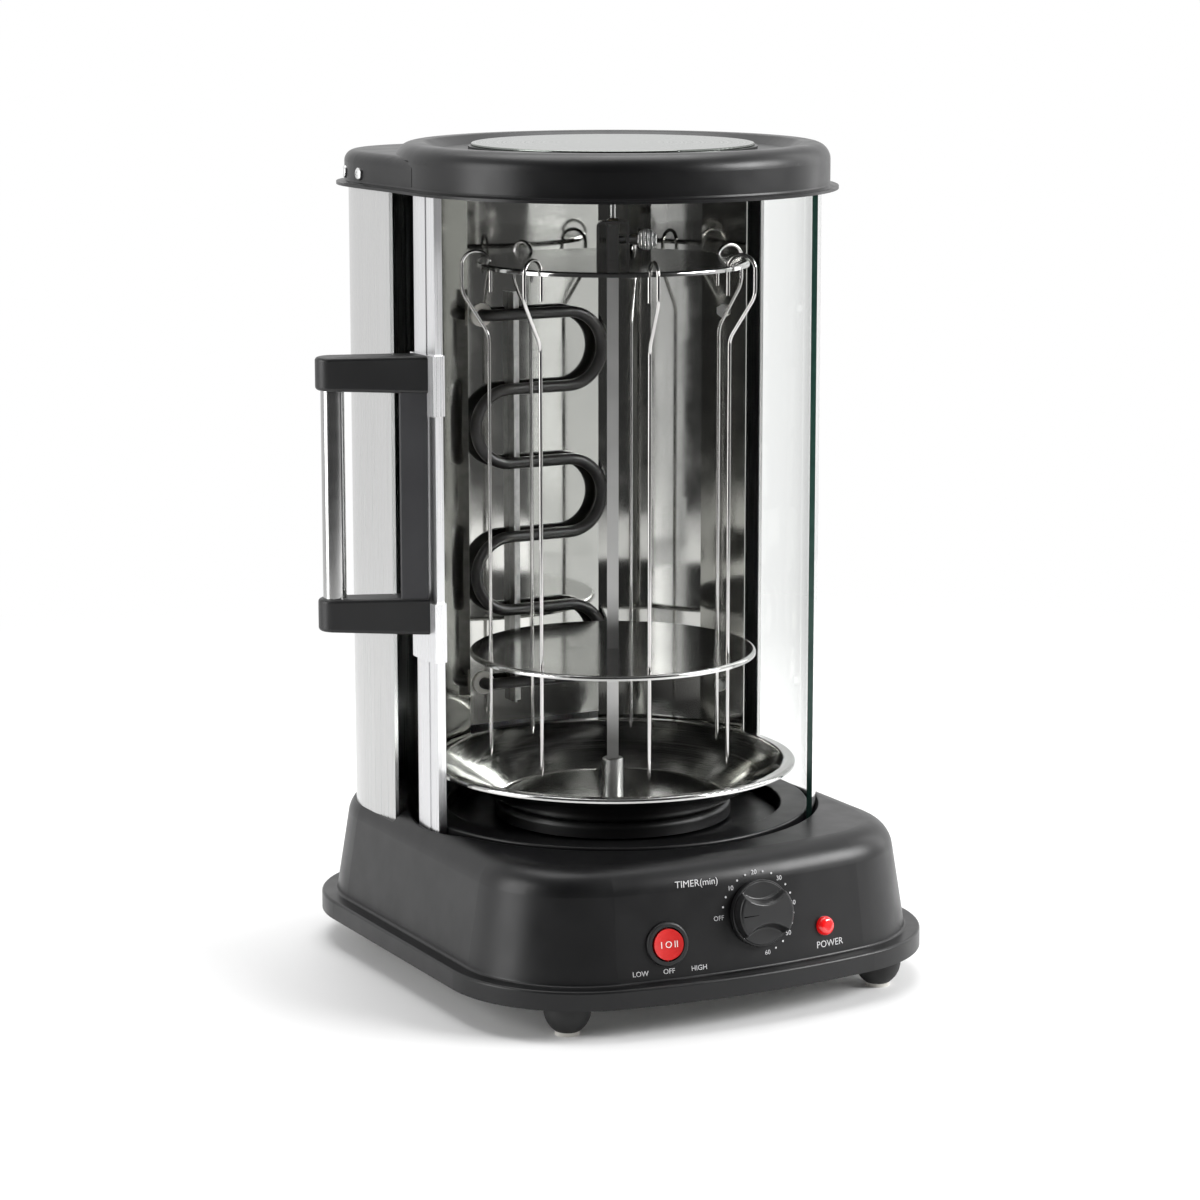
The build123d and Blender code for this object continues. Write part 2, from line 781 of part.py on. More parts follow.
# Rear housing: one bent sheet, open in front, with a narrow fold along each front edge
with BuildPart() as rear_housing:
    with BuildSketch(Plane.XY.offset(housing_seat)):
        add(housing_outline(0))
    extrude(amount=housing_top - housing_seat)
    with BuildSketch(Plane.XY.offset(housing_seat)):
        add(housing_outline(housing_sheet))
    extrude(amount=housing_top - housing_seat, mode=Mode.SUBTRACT)
    with BuildSketch(Plane.XY.offset(housing_seat)):
        with Locations((0, housing_edge_y)):
            Rectangle(2 * fold_x, 4 * housing_sheet)
    extrude(amount=housing_top - housing_seat, mode=Mode.SUBTRACT)
    for plane in lid_screw_planes:
        with BuildSketch(plane):
            Circle(lid_screw_radius)
        extrude(amount=-4 * lid_wall, mode=Mode.SUBTRACT)
rear_housing.part.label = "rear_housing"
export_step(rear_housing.part, "parts/rear_housing.step")

# Lid cover: spun drum with a rolled crest, lower block behind, thin lip all round
with BuildPart() as lid_cavity:
    with BuildSketch(Plane.XY.offset(lid_bottom)):
        add(lid_outline(-lid_wall))
    extrude(amount=lid_ceiling - lid_bottom)
    fillet(lid_cavity.edges().group_by(Axis.Z)[-1], rear_round - lid_wall)

with BuildPart() as lid_block:
    with BuildSketch(Plane.XY.offset(lid_bottom)):
        add(lid_outline(0))
        with Locations((0, lid_block_front)):
            Rectangle(4 * lid_radius, 4 * lid_radius, align=(Align.CENTER, Align.MAX), mode=Mode.SUBTRACT)
    extrude(amount=lid_rear_height)
    fillet(lid_block.edges().group_by(Axis.Z)[-1].sort_by(Axis.Y)[1:], rear_round)
    add(lid_cavity.part, mode=Mode.SUBTRACT)
    with BuildSketch(Plane.XY.offset(lid_bottom)):
        Circle(lid_radius - lid_wall)
    extrude(amount=lid_rear_height, mode=Mode.SUBTRACT)

# Hollow curve between the lid's wall and its lip
with BuildPart() as lid_cove:
    for share in (0, 45, 90):
        rise = cove_radius * (1 - cos(radians(share)))
        with BuildSketch(Plane.XY.offset(lip_level + rise)):
            add(lid_outline(cove_radius * (1 - sin(radians(share))) - lid_wall / 3))
    loft(ruled=True)
    with BuildSketch(Plane.XY.offset(lip_level)):
        add(lid_outline(-lid_wall * 2 / 3))
    extrude(amount=cove_radius, mode=Mode.SUBTRACT)

with BuildPart() as lid_cover:
    with BuildSketch(Plane.XZ) as spun:
        with BuildLine():
            Polyline(
                (lid_radius, lid_bottom),
                (lid_radius, crown_top),
                (trough_outer, crown_top),
                (trough_inner, trough_floor),
                (disc_radius + lid_wall, trough_floor),
                (disc_radius + lid_wall, disc_seat),
                (0, disc_seat),
                (0, disc_seat - lid_wall),
                (disc_radius, disc_seat - lid_wall),
                (disc_radius, trough_floor - lid_wall),
                (trough_inner, trough_floor - lid_wall),
                (trough_outer, crown_top - lid_wall),
                (lid_radius - lid_wall, crown_top - lid_wall),
                (lid_radius - lid_wall, lid_bottom),
                close=True,
            )
        make_face()
        for corner, radius in (
            ((lid_radius, crown_top), crown_round),
            ((lid_radius - lid_wall, crown_top - lid_wall), crown_round - lid_wall),
            ((trough_outer, crown_top), trough_round),
        ):
            fillet(spun.vertices().sort_by_distance(corner)[0], radius)
    revolve(axis=Axis.Z)
    # The drum's wall is cut away behind, where the rear housing comes up into the block
    with BuildSketch(Plane.XY.offset(lid_bottom)):
        with Locations((0, lid_block_front + lid_lap)):
            Rectangle(4 * lid_radius, 4 * lid_radius, align=(Align.CENTER, Align.MIN))
    extrude(amount=lid_ceiling - lid_bottom, mode=Mode.SUBTRACT)
    add(lid_block.part)
    with BuildSketch(Plane.XY.offset(lid_bottom)):
        add(lid_outline(lid_lip))
        add(lid_outline(-lid_wall), mode=Mode.SUBTRACT)
    extrude(amount=lid_lip_sheet)
    add(lid_cove.part)
    for plane in lid_screw_planes:
        with BuildSketch(plane):
            Circle(lid_screw_radius)
        extrude(amount=-4 * lid_wall, mode=Mode.SUBTRACT)
lid_cover.part.label = "lid_cover"
export_step(lid_cover.part, "parts/lid_cover.step")

with BuildPart() as lid_disc:
    with BuildSketch(Plane.XY.offset(disc_seat)):
        Circle(disc_radius)
    extrude(amount=disc_sheet)
    fillet(lid_disc.edges().group_by(Axis.Z)[-1], disc_sheet / 2)
lid_disc.part.label = "lid_disc"
export_step(lid_disc.part, "parts/lid_disc.step")

# Chrome pan head screws through lid and housing
with BuildPart() as lid_screws:
    for plane in lid_screw_planes:
        with BuildSketch(plane):
            Circle(lid_screw_head)
        extrude(amount=lid_screw_radius, taper=lid_screw_taper)
        with BuildSketch(plane):
            Circle(lid_screw_radius)
        extrude(amount=-3 * lid_wall)
lid_screws.part.label = "lid_screws"
export_step(lid_screws.part, "parts/lid_screws.step")

# Lid liner: plate with a ring that guides the top of the glass, hung from the lid by a second ring
with BuildPart() as lid_liner:
    with BuildSketch(Plane.XY.offset(liner_bottom)):
        Circle(lid_radius - lid_wall - seat_gap)
        Circle(bush_radius, mode=Mode.SUBTRACT)
    extrude(amount=liner_sheet)
    with BuildSketch(Plane.XY.offset(liner_bottom)):
        ring(groove_inner - liner_ring, groove_inner)
    extrude(amount=seat_gap - liner_height)
    with BuildSketch(Plane.XY.offset(liner_top)):
        ring(liner_post_radius - liner_ring, liner_post_radius)
    extrude(amount=trough_floor - lid_wall - liner_top)
lid_liner.part.label = "lid_liner"
export_step(lid_liner.part, "parts/lid_liner.step")

# Bush that steadies the pin on top of the spit
with BuildPart() as spit_bush:
    with BuildSketch(Plane.XY.offset(liner_top)):
        ring(spit_pin_radius + running_fit, bush_radius + liner_ring)
    extrude(amount=liner_sheet)
    with BuildSketch(Plane.XY.offset(liner_top)):
        ring(spit_pin_radius + running_fit, bush_radius)
    extrude(amount=-bush_drop)
    chamfer(spit_bush.edges().group_by(Axis.Z)[0].sort_by(SortBy.RADIUS)[-1], bush_chamfer)
spit_bush.part.label = "spit_bush"
export_step(spit_bush.part, "parts/spit_bush.step")

# Reflector: folded mirror sheet behind the spit, notched over the drip pan
pan_notch_z = pan_top + pan_notch_gap
fold_points = [bearing_point(reflector_radius, bearing) for bearing in reflector_bearings]
bolt_bearing = (reflector_bearings[0] + reflector_bearings[1]) / 2
bolt_reach = reflector_radius * cos(radians(bolt_bearing - reflector_bearings[0]))
bolt_planes = []
for bearing in (bolt_bearing, -bolt_bearing):
    out = bearing_point(1, bearing)
    for drop in (bolt_drop_top, bolt_drop_middle, bolt_drop_bottom):
        place = (bolt_reach * out[0], bolt_reach * out[1], lid_bottom - drop)
        bolt_planes.append(Plane(place, (0, 0, 1), (-out[0], -out[1], 0)))
run_levels = [heater_top - run * heater_pitch for run in range(heater_runs)]
tail_planes = [
    Plane((heater_tail_x, back_plate_y, level), (1, 0, 0), (0, 1, 0))
    for level in (run_levels[0], run_levels[-1])
]

with BuildPart() as reflector:
    with BuildSketch(Plane.XY.offset(base_top)):
        with BuildLine():
            Polyline(*fold_points, *[(-x, y) for x, y in reversed(fold_points)])
            offset(amount=reflector_sheet, side=Side.RIGHT)
        make_face()
    extrude(amount=liner_bottom - base_top)
    with BuildSketch(Plane.XY.offset(base_top)):
        with Locations((0, back_plate_y)):
            Rectangle(2 * fold_points[-1][0], 8 * reflector_sheet)
    extrude(amount=pan_notch_z - base_top, mode=Mode.SUBTRACT)
    for plane in bolt_planes:
        with BuildSketch(plane):
            Circle(bolt_radius)
        extrude(amount=-2 * reflector_sheet, mode=Mode.SUBTRACT)
    for plane in tail_planes:
        with BuildSketch(plane):
            Circle(heater_bush_radius)
        extrude(amount=2 * reflector_sheet, mode=Mode.SUBTRACT)
reflector.part.label = "reflector"
export_step(reflector.part, "parts/reflector.step")

with BuildPart() as reflector_bolts:
    for plane in bolt_planes:
        with BuildSketch(plane):
            RegularPolygon(bolt_head_radius, 6)
        extrude(amount=bolt_head)
        with BuildSketch(plane):
            Circle(bolt_radius)
        extrude(amount=-reflector_sheet - bolt_tail)
reflector_bolts.part.label = "reflector_bolts"
export_step(reflector_bolts.part, "parts/reflector_bolts.step")

# Heater: one tube bent to and fro, both tails led back through the reflector
bend_radius = heater_pitch / 2
run_end = heater_half_width - heater_radius - bend_radius
tail_y = back_plate_y + reflector_sheet + heater_tail_out
with BuildPart() as heater:
    with BuildLine() as heater_path:
        level = run_levels[0]
        tail = Line((heater_tail_x, tail_y, level), (heater_tail_x, heater_y + heater_bend, level))
        turn = TangentArc(tail @ 1, (heater_tail_x + heater_bend, heater_y, level), tangent=(0, -1, 0))
        last = turn @ 1
        for run, level in enumerate(run_levels):
            way = 1 if run % 2 == 0 else -1
            if run < heater_runs - 1:
                straight = Line(last, (way * run_end, heater_y, level))
                middle = (way * (run_end + bend_radius), heater_y, level - bend_radius)
                bend = ThreePointArc(straight @ 1, middle, (way * run_end, heater_y, level - heater_pitch))
                last = bend @ 1
        straight = Line(last, (heater_tail_x + heater_bend, heater_y, run_levels[-1]))
        turn = TangentArc(straight @ 1, (heater_tail_x, heater_y + heater_bend, run_levels[-1]), tangent=(-1, 0, 0))
        Line(turn @ 1, (heater_tail_x, tail_y, run_levels[-1]))
    with BuildSketch(Plane((heater_tail_x, tail_y, run_levels[0]), (1, 0, 0), (0, -1, 0))):
        Circle(heater_radius)
    sweep()
heater.part.label = "heater"
export_step(heater.part, "parts/heater.step")

for name, plane in zip(("heater_bush_upper", "heater_bush_lower"), tail_planes):
    with BuildPart() as heater_bush:
        with BuildSketch(plane):
            Circle(heater_bush_radius + heater_bush_lip)
            Circle(heater_radius, mode=Mode.SUBTRACT)
        extrude(amount=-heater_bush_flange)
        with BuildSketch(plane):
            Circle(heater_bush_radius)
            Circle(heater_radius, mode=Mode.SUBTRACT)
        extrude(amount=reflector_sheet + heater_bush_tail)
    heater_bush.part.label = name
    export_step(heater_bush.part, "parts/" + name + ".step")

# Bracket with a saddle for each run of the tube
with BuildPart() as heater_bracket:
    with BuildSketch(Plane.YZ.offset(bracket_x)):
        with Locations((back_plate_y, run_levels[-1] - bracket_end)):
            Rectangle(
                back_plate_y - heater_y,
                run_levels[0] - run_levels[-1] + 2 * bracket_end,
                align=(Align.MAX, Align.MIN),
            )
        with Locations(*[(heater_y, level) for level in run_levels]):
            Circle(heater_radius, mode=Mode.SUBTRACT)
    extrude(amount=bracket_sheet)
    with BuildSketch(Plane.XZ.offset(-back_plate_y)):
        with Locations((bracket_x, run_levels[-1] - bracket_end)):
            Rectangle(
                bracket_sheet + bracket_lip,
                run_levels[0] - run_levels[-1] + 2 * bracket_end,
                align=(Align.MIN, Align.MIN),
            )
    extrude(amount=bracket_sheet)
heater_bracket.part.label = "heater_bracket"
export_step(heater_bracket.part, "parts/heater_bracket.step")

# Door: one curved pane, held along its front edge by an aluminium profile
profile_half = degrees(profile_width / glass_radius) / 2
profile_inner = glass_inner - profile_skin
profile_outer = glass_radius + profile_skin
profile_start = door_bearing - profile_half
profile_end = door_bearing + profile_half
door_height = door_top - door_bottom
with BuildPart() as door_glass:
    with BuildSketch(Plane.XY.offset(door_bottom)):
        add(ring_sector(glass_inner, glass_radius, door_bearing - door_span, door_bearing))
    extrude(amount=door_height)
door_glass.part.label = "door_glass"
export_step(door_glass.part, "parts/door_glass.step")

with BuildPart() as door_profile:
    with BuildSketch(Plane.XY.offset(door_bottom)):
        add(ring_sector(profile_inner, profile_outer, profile_start, profile_end))
        add(ring_sector(glass_inner, glass_radius, profile_start, door_bearing), mode=Mode.SUBTRACT)
        # Shallow line down the outside
        line_start = door_bearing + profile_half / 4
        line_end = door_bearing + profile_half / 2
        add(
            ring_sector(profile_outer - profile_groove, profile_outer + profile_groove, line_start, line_end),
            mode=Mode.SUBTRACT,
        )
    extrude(amount=door_height)
door_profile.part.label = "door_profile"
export_step(door_profile.part, "parts/door_profile.step")

clip_outer = profile_outer + clip_sheet
wrap_end = profile_end + degrees(clip_overlap / glass_radius)
arm_root = bearing_point(clip_outer, door_bearing)
arm_way = bearing_point(1, door_bearing - arm_sweep)
arm_side = bearing_point(1, door_bearing - arm_sweep + 90)
grip_reach = arm_length - grip_from_end
grip_place = (arm_root[0] + grip_reach * arm_way[0], arm_root[1] + grip_reach * arm_way[1])
grip_bottom = lower_arm_level + arm_height / 2 - grip_sink
grip_top = upper_arm_level - arm_height / 2 + grip_sink
for name, level, drop in (
    ("upper", upper_arm_level, upper_clip_drop),
    ("lower", lower_arm_level, lower_clip_drop),
):
    with BuildPart() as clip:
        with BuildSketch(Plane.XY.offset(level - drop)):
            add(ring_sector(profile_outer, clip_outer, profile_start, wrap_end))
            add(ring_sector(profile_inner, clip_outer, profile_end, wrap_end))
        extrude(amount=clip_height)
    clip.part.label = "clip_" + name
    export_step(clip.part, "parts/clip_" + name + ".step")
    # Arm: round-ended in plan, a little taller at the root, hollowed to sit on the clip
    with BuildPart() as arm:
        with BuildSketch(Plane((*arm_root, level - arm_root_height / 2), (*arm_way, 0), (0, 0, 1))):
            with Locations((arm_length - arm_width / 2, 0)):
                Circle(arm_width / 2)
            with Locations((-arm_width, 0)):
                Rectangle(arm_length + arm_width / 2, arm_width, align=(Align.MIN, Align.CENTER))
        extrude(amount=arm_root_height)
        with BuildSketch(Plane((*arm_root, level), (*arm_way, 0), (-arm_side[0], -arm_side[1], 0))):
            with BuildLine():
                Polyline(
                    (-arm_width, arm_root_height / 2),
                    (0, arm_root_height / 2),
                    (arm_length, arm_height / 2),
                    (arm_length, -arm_height / 2),
                    (0, -arm_root_height / 2),
                    (-arm_width, -arm_root_height / 2),
                    close=True,
                )
            make_face()
        extrude(amount=arm_width, both=True, mode=Mode.INTERSECT)
        fillet(arm.faces().filter_by(lambda face: abs(face.normal_at().Z) > abs(arm_way[0])).edges(), arm_round)
        with BuildSketch(Plane.XY.offset(level - arm_root_height)):
            Circle(clip_outer)
        extrude(amount=2 * arm_root_height, mode=Mode.SUBTRACT)
        with BuildSketch(Plane.XY.offset(grip_bottom)):
            with Locations(grip_place):
                Circle(grip_radius)
        extrude(amount=grip_top - grip_bottom, mode=Mode.SUBTRACT)
    arm.part.label = "handle_arm_" + name
    export_step(arm.part, "parts/handle_arm_" + name + ".step")

with BuildPart() as grip_tube:
    with BuildSketch(Plane.XY.offset(grip_bottom)):
        with Locations(grip_place):
            Circle(grip_radius)
            Circle(grip_radius - grip_wall, mode=Mode.SUBTRACT)
    extrude(amount=grip_top - grip_bottom)
grip_tube.part.label = "grip_tube"
export_step(grip_tube.part, "parts/grip_tube.step")

# Drip pan: pressed sheet with a sloping side, a flat rim and a turned-down edge
with BuildPart() as drip_pan:
    with BuildSketch(Plane.XZ):
        with BuildLine():
            FilletPolyline(
                (0, turntable_top),
                (pan_floor_radius, turntable_top),
                (pan_radius - pan_rim, pan_top - pan_sheet),
                (pan_radius - pan_sheet, pan_top - pan_sheet),
                (pan_radius - pan_sheet, pan_top - pan_edge),
                radius=(pan_round, pan_round, pan_sheet),
            )
            offset(amount=pan_sheet, side=Side.LEFT)
        make_face()
    revolve(axis=Axis.Z)
drip_pan.part.label = "drip_pan"
export_step(drip_pan.part, "parts/drip_pan.step")

# Spit: square rod in a socket on the pan, with a round pin that turns in the lid
square_hole = spit_side + 2 * spit_fit
pin_level = lower_plate_z - cross_pin_radius
pin_plane = Plane((0, 0, pin_level), (0, 0, 1), (cos(radians(spit_turn)), sin(radians(spit_turn)), 0))
with BuildPart() as spit_socket:
    with BuildSketch(Plane.XY.offset(pan_floor_top)):
        Circle(socket_radius)
        Rectangle(square_hole, square_hole, rotation=spit_turn, mode=Mode.SUBTRACT)
    extrude(amount=socket_height)
    chamfer(spit_socket.edges().filter_by(GeomType.CIRCLE).sort_by(Axis.Z)[-1], socket_chamfer)
spit_socket.part.label = "spit_socket"
export_step(spit_socket.part, "parts/spit_socket.step")

with BuildPart() as spit_shaft:
    with BuildSketch(Plane.XY.offset(pan_floor_top)):
        Rectangle(spit_side, spit_side, rotation=spit_turn)
    extrude(amount=spit_top - pan_floor_top)
    chamfer(spit_shaft.edges().group_by(Axis.Z)[-1], spit_chamfer)
    with BuildSketch(Plane.XY.offset(spit_top)):
        Circle(spit_pin_radius)
    extrude(amount=liner_top - spit_top)
    with BuildSketch(pin_plane):
        Circle(cross_pin_radius)
    extrude(amount=spit_side, both=True, mode=Mode.SUBTRACT)
spit_shaft.part.label = "spit_shaft"
export_step(spit_shaft.part, "parts/spit_shaft.step")

with BuildPart() as cross_pin:
    with BuildSketch(pin_plane):
        Circle(cross_pin_radius)
    extrude(amount=cross_pin_length / 2, both=True)
cross_pin.part.label = "cross_pin"
export_step(cross_pin.part, "parts/cross_pin.step")

# Skewer plates: thin discs with a turned-down rim, a square hole and a ring of holes
skewer_hole = skewer_wire + skewer_hole_clearance
for name, level, radius, ring_radius in (
    ("lower_plate", lower_plate_z, lower_plate_radius, skewer_stem),
    ("upper_plate", upper_plate_z, upper_plate_radius, skewer_leg),
):
    with BuildPart() as plate:
        with BuildSketch(Plane.XZ):
            with BuildLine():
                FilletPolyline(
                    (0, level + plate_thickness),
                    (radius, level + plate_thickness),
                    (radius, level + plate_thickness - plate_rim),
                    radius=plate_thickness + plate_corner / 2,
                )
                offset(amount=plate_thickness, side=Side.RIGHT)
            make_face()
        revolve(axis=Axis.Z)
        with BuildSketch(Plane.XY.offset(level)):
            Rectangle(square_hole, square_hole, rotation=spit_turn)
            with PolarLocations(ring_radius, skewer_count, start_angle=skewer_first - 90):
                Circle(skewer_hole)
        extrude(amount=plate_thickness, mode=Mode.SUBTRACT)
    plate.part.label = name
    export_step(plate.part, "parts/" + name + ".step")

# Clamp bracket on the upper plate and the thumb screw that grips the spit
spit_way = (cos(radians(spit_turn)), sin(radians(spit_turn)), 0)
spit_across = (-spit_way[1], spit_way[0], 0)
thumb_plane = Plane((0, 0, upper_plate_top + thumb_height), (0, 0, 1), spit_way)
with BuildPart() as clamp_bracket:
    with BuildSketch(Plane((0, 0, upper_plate_top), spit_way, (-spit_across[0], -spit_across[1], 0))):
        with BuildLine():
            FilletPolyline(
                (-clamp_width / 2, 0),
                (-clamp_width / 2, clamp_height),
                (clamp_width / 2, clamp_height),
                (clamp_width / 2, 0),
                radius=2 * clamp_sheet,
            )
            offset(amount=clamp_sheet, side=Side.RIGHT)
        make_face()
    extrude(amount=clamp_depth / 2, both=True)
    with BuildSketch(Plane.XY.offset(upper_plate_top)):
        Rectangle(square_hole, square_hole, rotation=spit_turn)
    extrude(amount=2 * clamp_height, mode=Mode.SUBTRACT)
    with BuildSketch(thumb_plane):
        Circle(thumb_thread_radius + running_fit)
    extrude(amount=clamp_width, mode=Mode.SUBTRACT)
clamp_bracket.part.label = "clamp_bracket"
export_step(clamp_bracket.part, "parts/clamp_bracket.step")

neck_start = clamp_width / 2 + seat_gap
paddle_reach = neck_start + thumb_neck + paddle_radius - paddle_sink
paddle_plane = Plane(thumb_plane.offset(paddle_reach).origin, spit_way, spit_across)
with BuildPart() as thumb_screw:
    with BuildSketch(thumb_plane.offset(spit_side / 2 + seat_gap)):
        Circle(thumb_thread_radius)
    extrude(amount=neck_start - spit_side / 2 - seat_gap)
    with BuildSketch(thumb_plane.offset(neck_start)):
        Circle(thumb_neck_radius)
    extrude(amount=thumb_neck, taper=-thumb_neck_flare)
    with BuildSketch(paddle_plane):
        Circle(paddle_radius)
    extrude(amount=paddle_thickness / 2, both=True)
    for face in (-1, 1):
        with BuildSketch(paddle_plane.offset(face * paddle_thickness / 2)):
            with GridLocations(paddle_rib_pitch, 0, paddle_ribs, 1):
                Rectangle(paddle_rib_gap, 2 * paddle_radius)
        extrude(amount=-face * paddle_rib_depth, mode=Mode.SUBTRACT)
thumb_screw.part.label = "thumb_screw"
export_step(thumb_screw.part, "parts/thumb_screw.step")

# Skewers: hooked wires, each hung over the edge of its hole in the upper plate
hook_radius = (skewer_belly - skewer_leg) / 2
hook_inner = hook_radius - skewer_wire
hook_rise = hook_radius - sqrt(hook_inner**2 - (hook_radius - skewer_hole) ** 2)
hook_top = upper_plate_top + hook_rise + running_fit
for number in range(skewer_count):
    bearing = skewer_first + number * 360 / skewer_count
    out = bearing_point(1, bearing)
    with BuildPart() as skewer:
        with BuildLine(Plane((0, 0, 0), (*out, 0), (out[1], -out[0], 0))):
            FilletPolyline(
                (skewer_stem, skewer_tip_z),
                (skewer_stem, hook_top - skewer_bend_drop),
                (skewer_belly, hook_top - skewer_shoulder_drop),
                (skewer_belly, hook_top),
                (skewer_leg, hook_top),
                (skewer_leg, hook_top - skewer_leg_drop),
                radius=(skewer_bend, skewer_bend, hook_radius - running_fit, hook_radius - running_fit),
            )
        with BuildSketch(Plane.XY.offset(skewer_tip_z)):
            with Locations(bearing_point(skewer_stem, bearing)):
                Circle(skewer_wire)
        sweep()
        with BuildSketch(Plane.XY.offset(skewer_tip_z)):
            with Locations(bearing_point(skewer_stem, bearing)):
                Circle(skewer_wire)
        extrude(amount=-skewer_point, taper=skewer_point_taper)
    skewer.part.label = "skewer_" + str(number + 1)
    export_step(skewer.part, "parts/skewer_" + str(number + 1) + ".step")
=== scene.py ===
"""Looks of the vertical rotisserie grill: materials, printing, glass pane, small trim, studio and camera."""

from math import cos, hypot, pi, radians, sin, sqrt, tan

import bmesh
import bpy
from mathutils import Matrix, Vector


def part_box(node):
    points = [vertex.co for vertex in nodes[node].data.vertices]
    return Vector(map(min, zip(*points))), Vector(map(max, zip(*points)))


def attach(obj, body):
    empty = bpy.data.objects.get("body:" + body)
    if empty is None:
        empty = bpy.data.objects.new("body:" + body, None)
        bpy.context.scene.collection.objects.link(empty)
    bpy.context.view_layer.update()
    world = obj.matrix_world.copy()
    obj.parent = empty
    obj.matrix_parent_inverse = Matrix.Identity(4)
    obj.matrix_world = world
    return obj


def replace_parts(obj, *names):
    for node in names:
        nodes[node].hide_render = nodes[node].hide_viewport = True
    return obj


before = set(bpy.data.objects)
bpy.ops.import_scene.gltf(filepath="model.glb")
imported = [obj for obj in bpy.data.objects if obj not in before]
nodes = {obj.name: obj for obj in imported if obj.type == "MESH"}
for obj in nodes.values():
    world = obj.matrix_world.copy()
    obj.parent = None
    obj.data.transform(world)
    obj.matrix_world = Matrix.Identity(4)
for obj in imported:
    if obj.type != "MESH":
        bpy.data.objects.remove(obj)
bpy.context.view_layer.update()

# Front wall of the base, in metres and degrees
BOW_RADIUS = 0.420
WALL_FRONT = 0.1515
WALL_FOOT_Z = 0.0274
WALL_LEAN = radians(9)
PRINT_LIFT = 0.00006

# Edges sharper than this stay sharp in the shading, in degrees
SHARP_ANGLE = 40

# Controls on the wall: place across and up
KNOB = (0.008, 0.056)
ROCKER = (-0.046, 0.046)
LAMP = (0.0485, 0.0435)
DIAL_RADIUS = 0.0216
DIAL_START = -90
DIAL_SWEEP = 260
ROCKER_RISE = 0.0020
ROCKER_DISH = 0.0324

# Printing: words with the height of their capitals and their middle on the wall
CAPITAL_SHARE = 0.69
WALL_WORDS = [
    ("TIMER(min)", 0.0035, (KNOB[0] - 0.0350, KNOB[1] + 0.0196)),
    ("LOW", 0.0026, (ROCKER[0] - 0.0158, ROCKER[1] - 0.0138)),
    ("OFF", 0.0026, (ROCKER[0], ROCKER[1] - 0.0138)),
    ("HIGH", 0.0026, (ROCKER[0] + 0.0170, ROCKER[1] - 0.0138)),
    ("POWER", 0.0035, (LAMP[0] + 0.0030, LAMP[1] - 0.0094)),
]
DIAL_WORDS = ["OFF", "10", "20", "30", "40", "50", "60"]
DIAL_HEIGHT = 0.0024
DIAL_OFF_SHIFT = 0.0022
DOT_RADIUS = 0.00055
ROCKER_MARKS = (("I", -0.0040), ("O", 0), ("II", 0.0041))
ROCKER_MARK_HEIGHT = 0.0034

# Timer knob: rises are measured from the wall
KNOB_RADIUS = 0.0175
KNOB_CAP = 0.0163
KNOB_GAP = 0.0006
KNOB_SKIRT = 0.0038
KNOB_TOP = 0.0096
KNOB_ROUND = 0.0015
KNOB_STEP = 0.0004
KNOB_ARRIS = 0.0003
KNOB_STEM = 0.0030
KNOB_STEM_DEPTH = 0.0080
KNOB_RINGS = 30
KNOB_RIM_RINGS = 8
KNOB_SIDES = 144
SCOOP_CENTRE = 0.0220
SCOOP_RADIUS = 0.0175
SCOOP_SLOPE = 0.0034
SCOOP_FLOOR = 0.0043
POINTER = (-0.0145, -0.0055, 0.0006)

# Lid screws: place and bearing of each head, then the head's sizes
LID_SCREWS = [
    ((0.1203, 0.0636, 0.4305), 90),
    ((0.11805, 0.08661, 0.4305), 106),
    ((-0.1203, 0.0636, 0.4305), -90),
    ((-0.11805, 0.08661, 0.4305), -106),
]
SCREW_RADIUS = 0.0034
SCREW_DOME = 0.0017
SCREW_RIM = 0.86
SCREW_SINK = 0.0003
SCREW_RINGS = 16
SCREW_SIDES = 64
RECESS_REACH = 0.0017
RECESS_WIDTH = 0.0005
RECESS_DEPTH = 0.0007
RECESS_END_SLOPE = 0.0005
RECESS_SIDE_SLOPE = 0.0003

# Handle's back strip: a dark grey bar along the door's profile, between the arms' roots, that stands in for
# painted shade on the profile's shaded side
STRIP_ROOT = (-0.1154, 0, 0)
STRIP_BEARING = -118
STRIP_INNER = 0.1155
STRIP_OUT = 0.0105
STRIP_SIDES = (-0.0005, 0.0075)
STRIP_ROUND = 0.0012
STRIP_STEPS = 6
BEND_STEPS = 5
STRIP_LEVELS = (0.2095, 0.3215)

# Thumb screw's paddle on the spit's clamp
PADDLE_TURN = -28
PADDLE_REACH = 0.01805
PADDLE_Z = 0.3955
PADDLE_RADIUS = 0.0056
PADDLE_HALF = 0.0016
RIB_WIDTH = 0.0013
RIB_RISE = 0.0006
RIB_SINK = 0.0001
RIB_END = 0.0004
RIB_END_SHARE = 0.45
RIB_STEPS = 8
RIB_OFFSETS = (-0.0048, -0.0030, -0.0010, 0.0010, 0.0030, 0.0048)

# Door pane
GLASS_OUTER = 0.112
GLASS_SHEET = 0.003
GLASS_ARRIS = 0.0004
DOOR_START = -312
DOOR_END = -90
PANE_STEPS = 148
PANE_SHARP_ANGLE = 20

# Photograph's camera
CAMERA_PLACE = (-0.920, -1.731, 0.565)
CAMERA_PITCH = 10.6
CAMERA_TURN = -28
CAMERA_LENS = 109.2
CAMERA_SENSOR = 36
CAMERA_SHIFT = -0.0112

# Studio: floor in metres; light of the air behind and before the object, and where it changes
FLOOR_RADIUS = 1.30
FLOOR_FADE = (0.45, 1.10)
AIR_BACK = 0.72
AIR_FRONT = 0.05
AIR_FADE = (-0.35, 0.75)

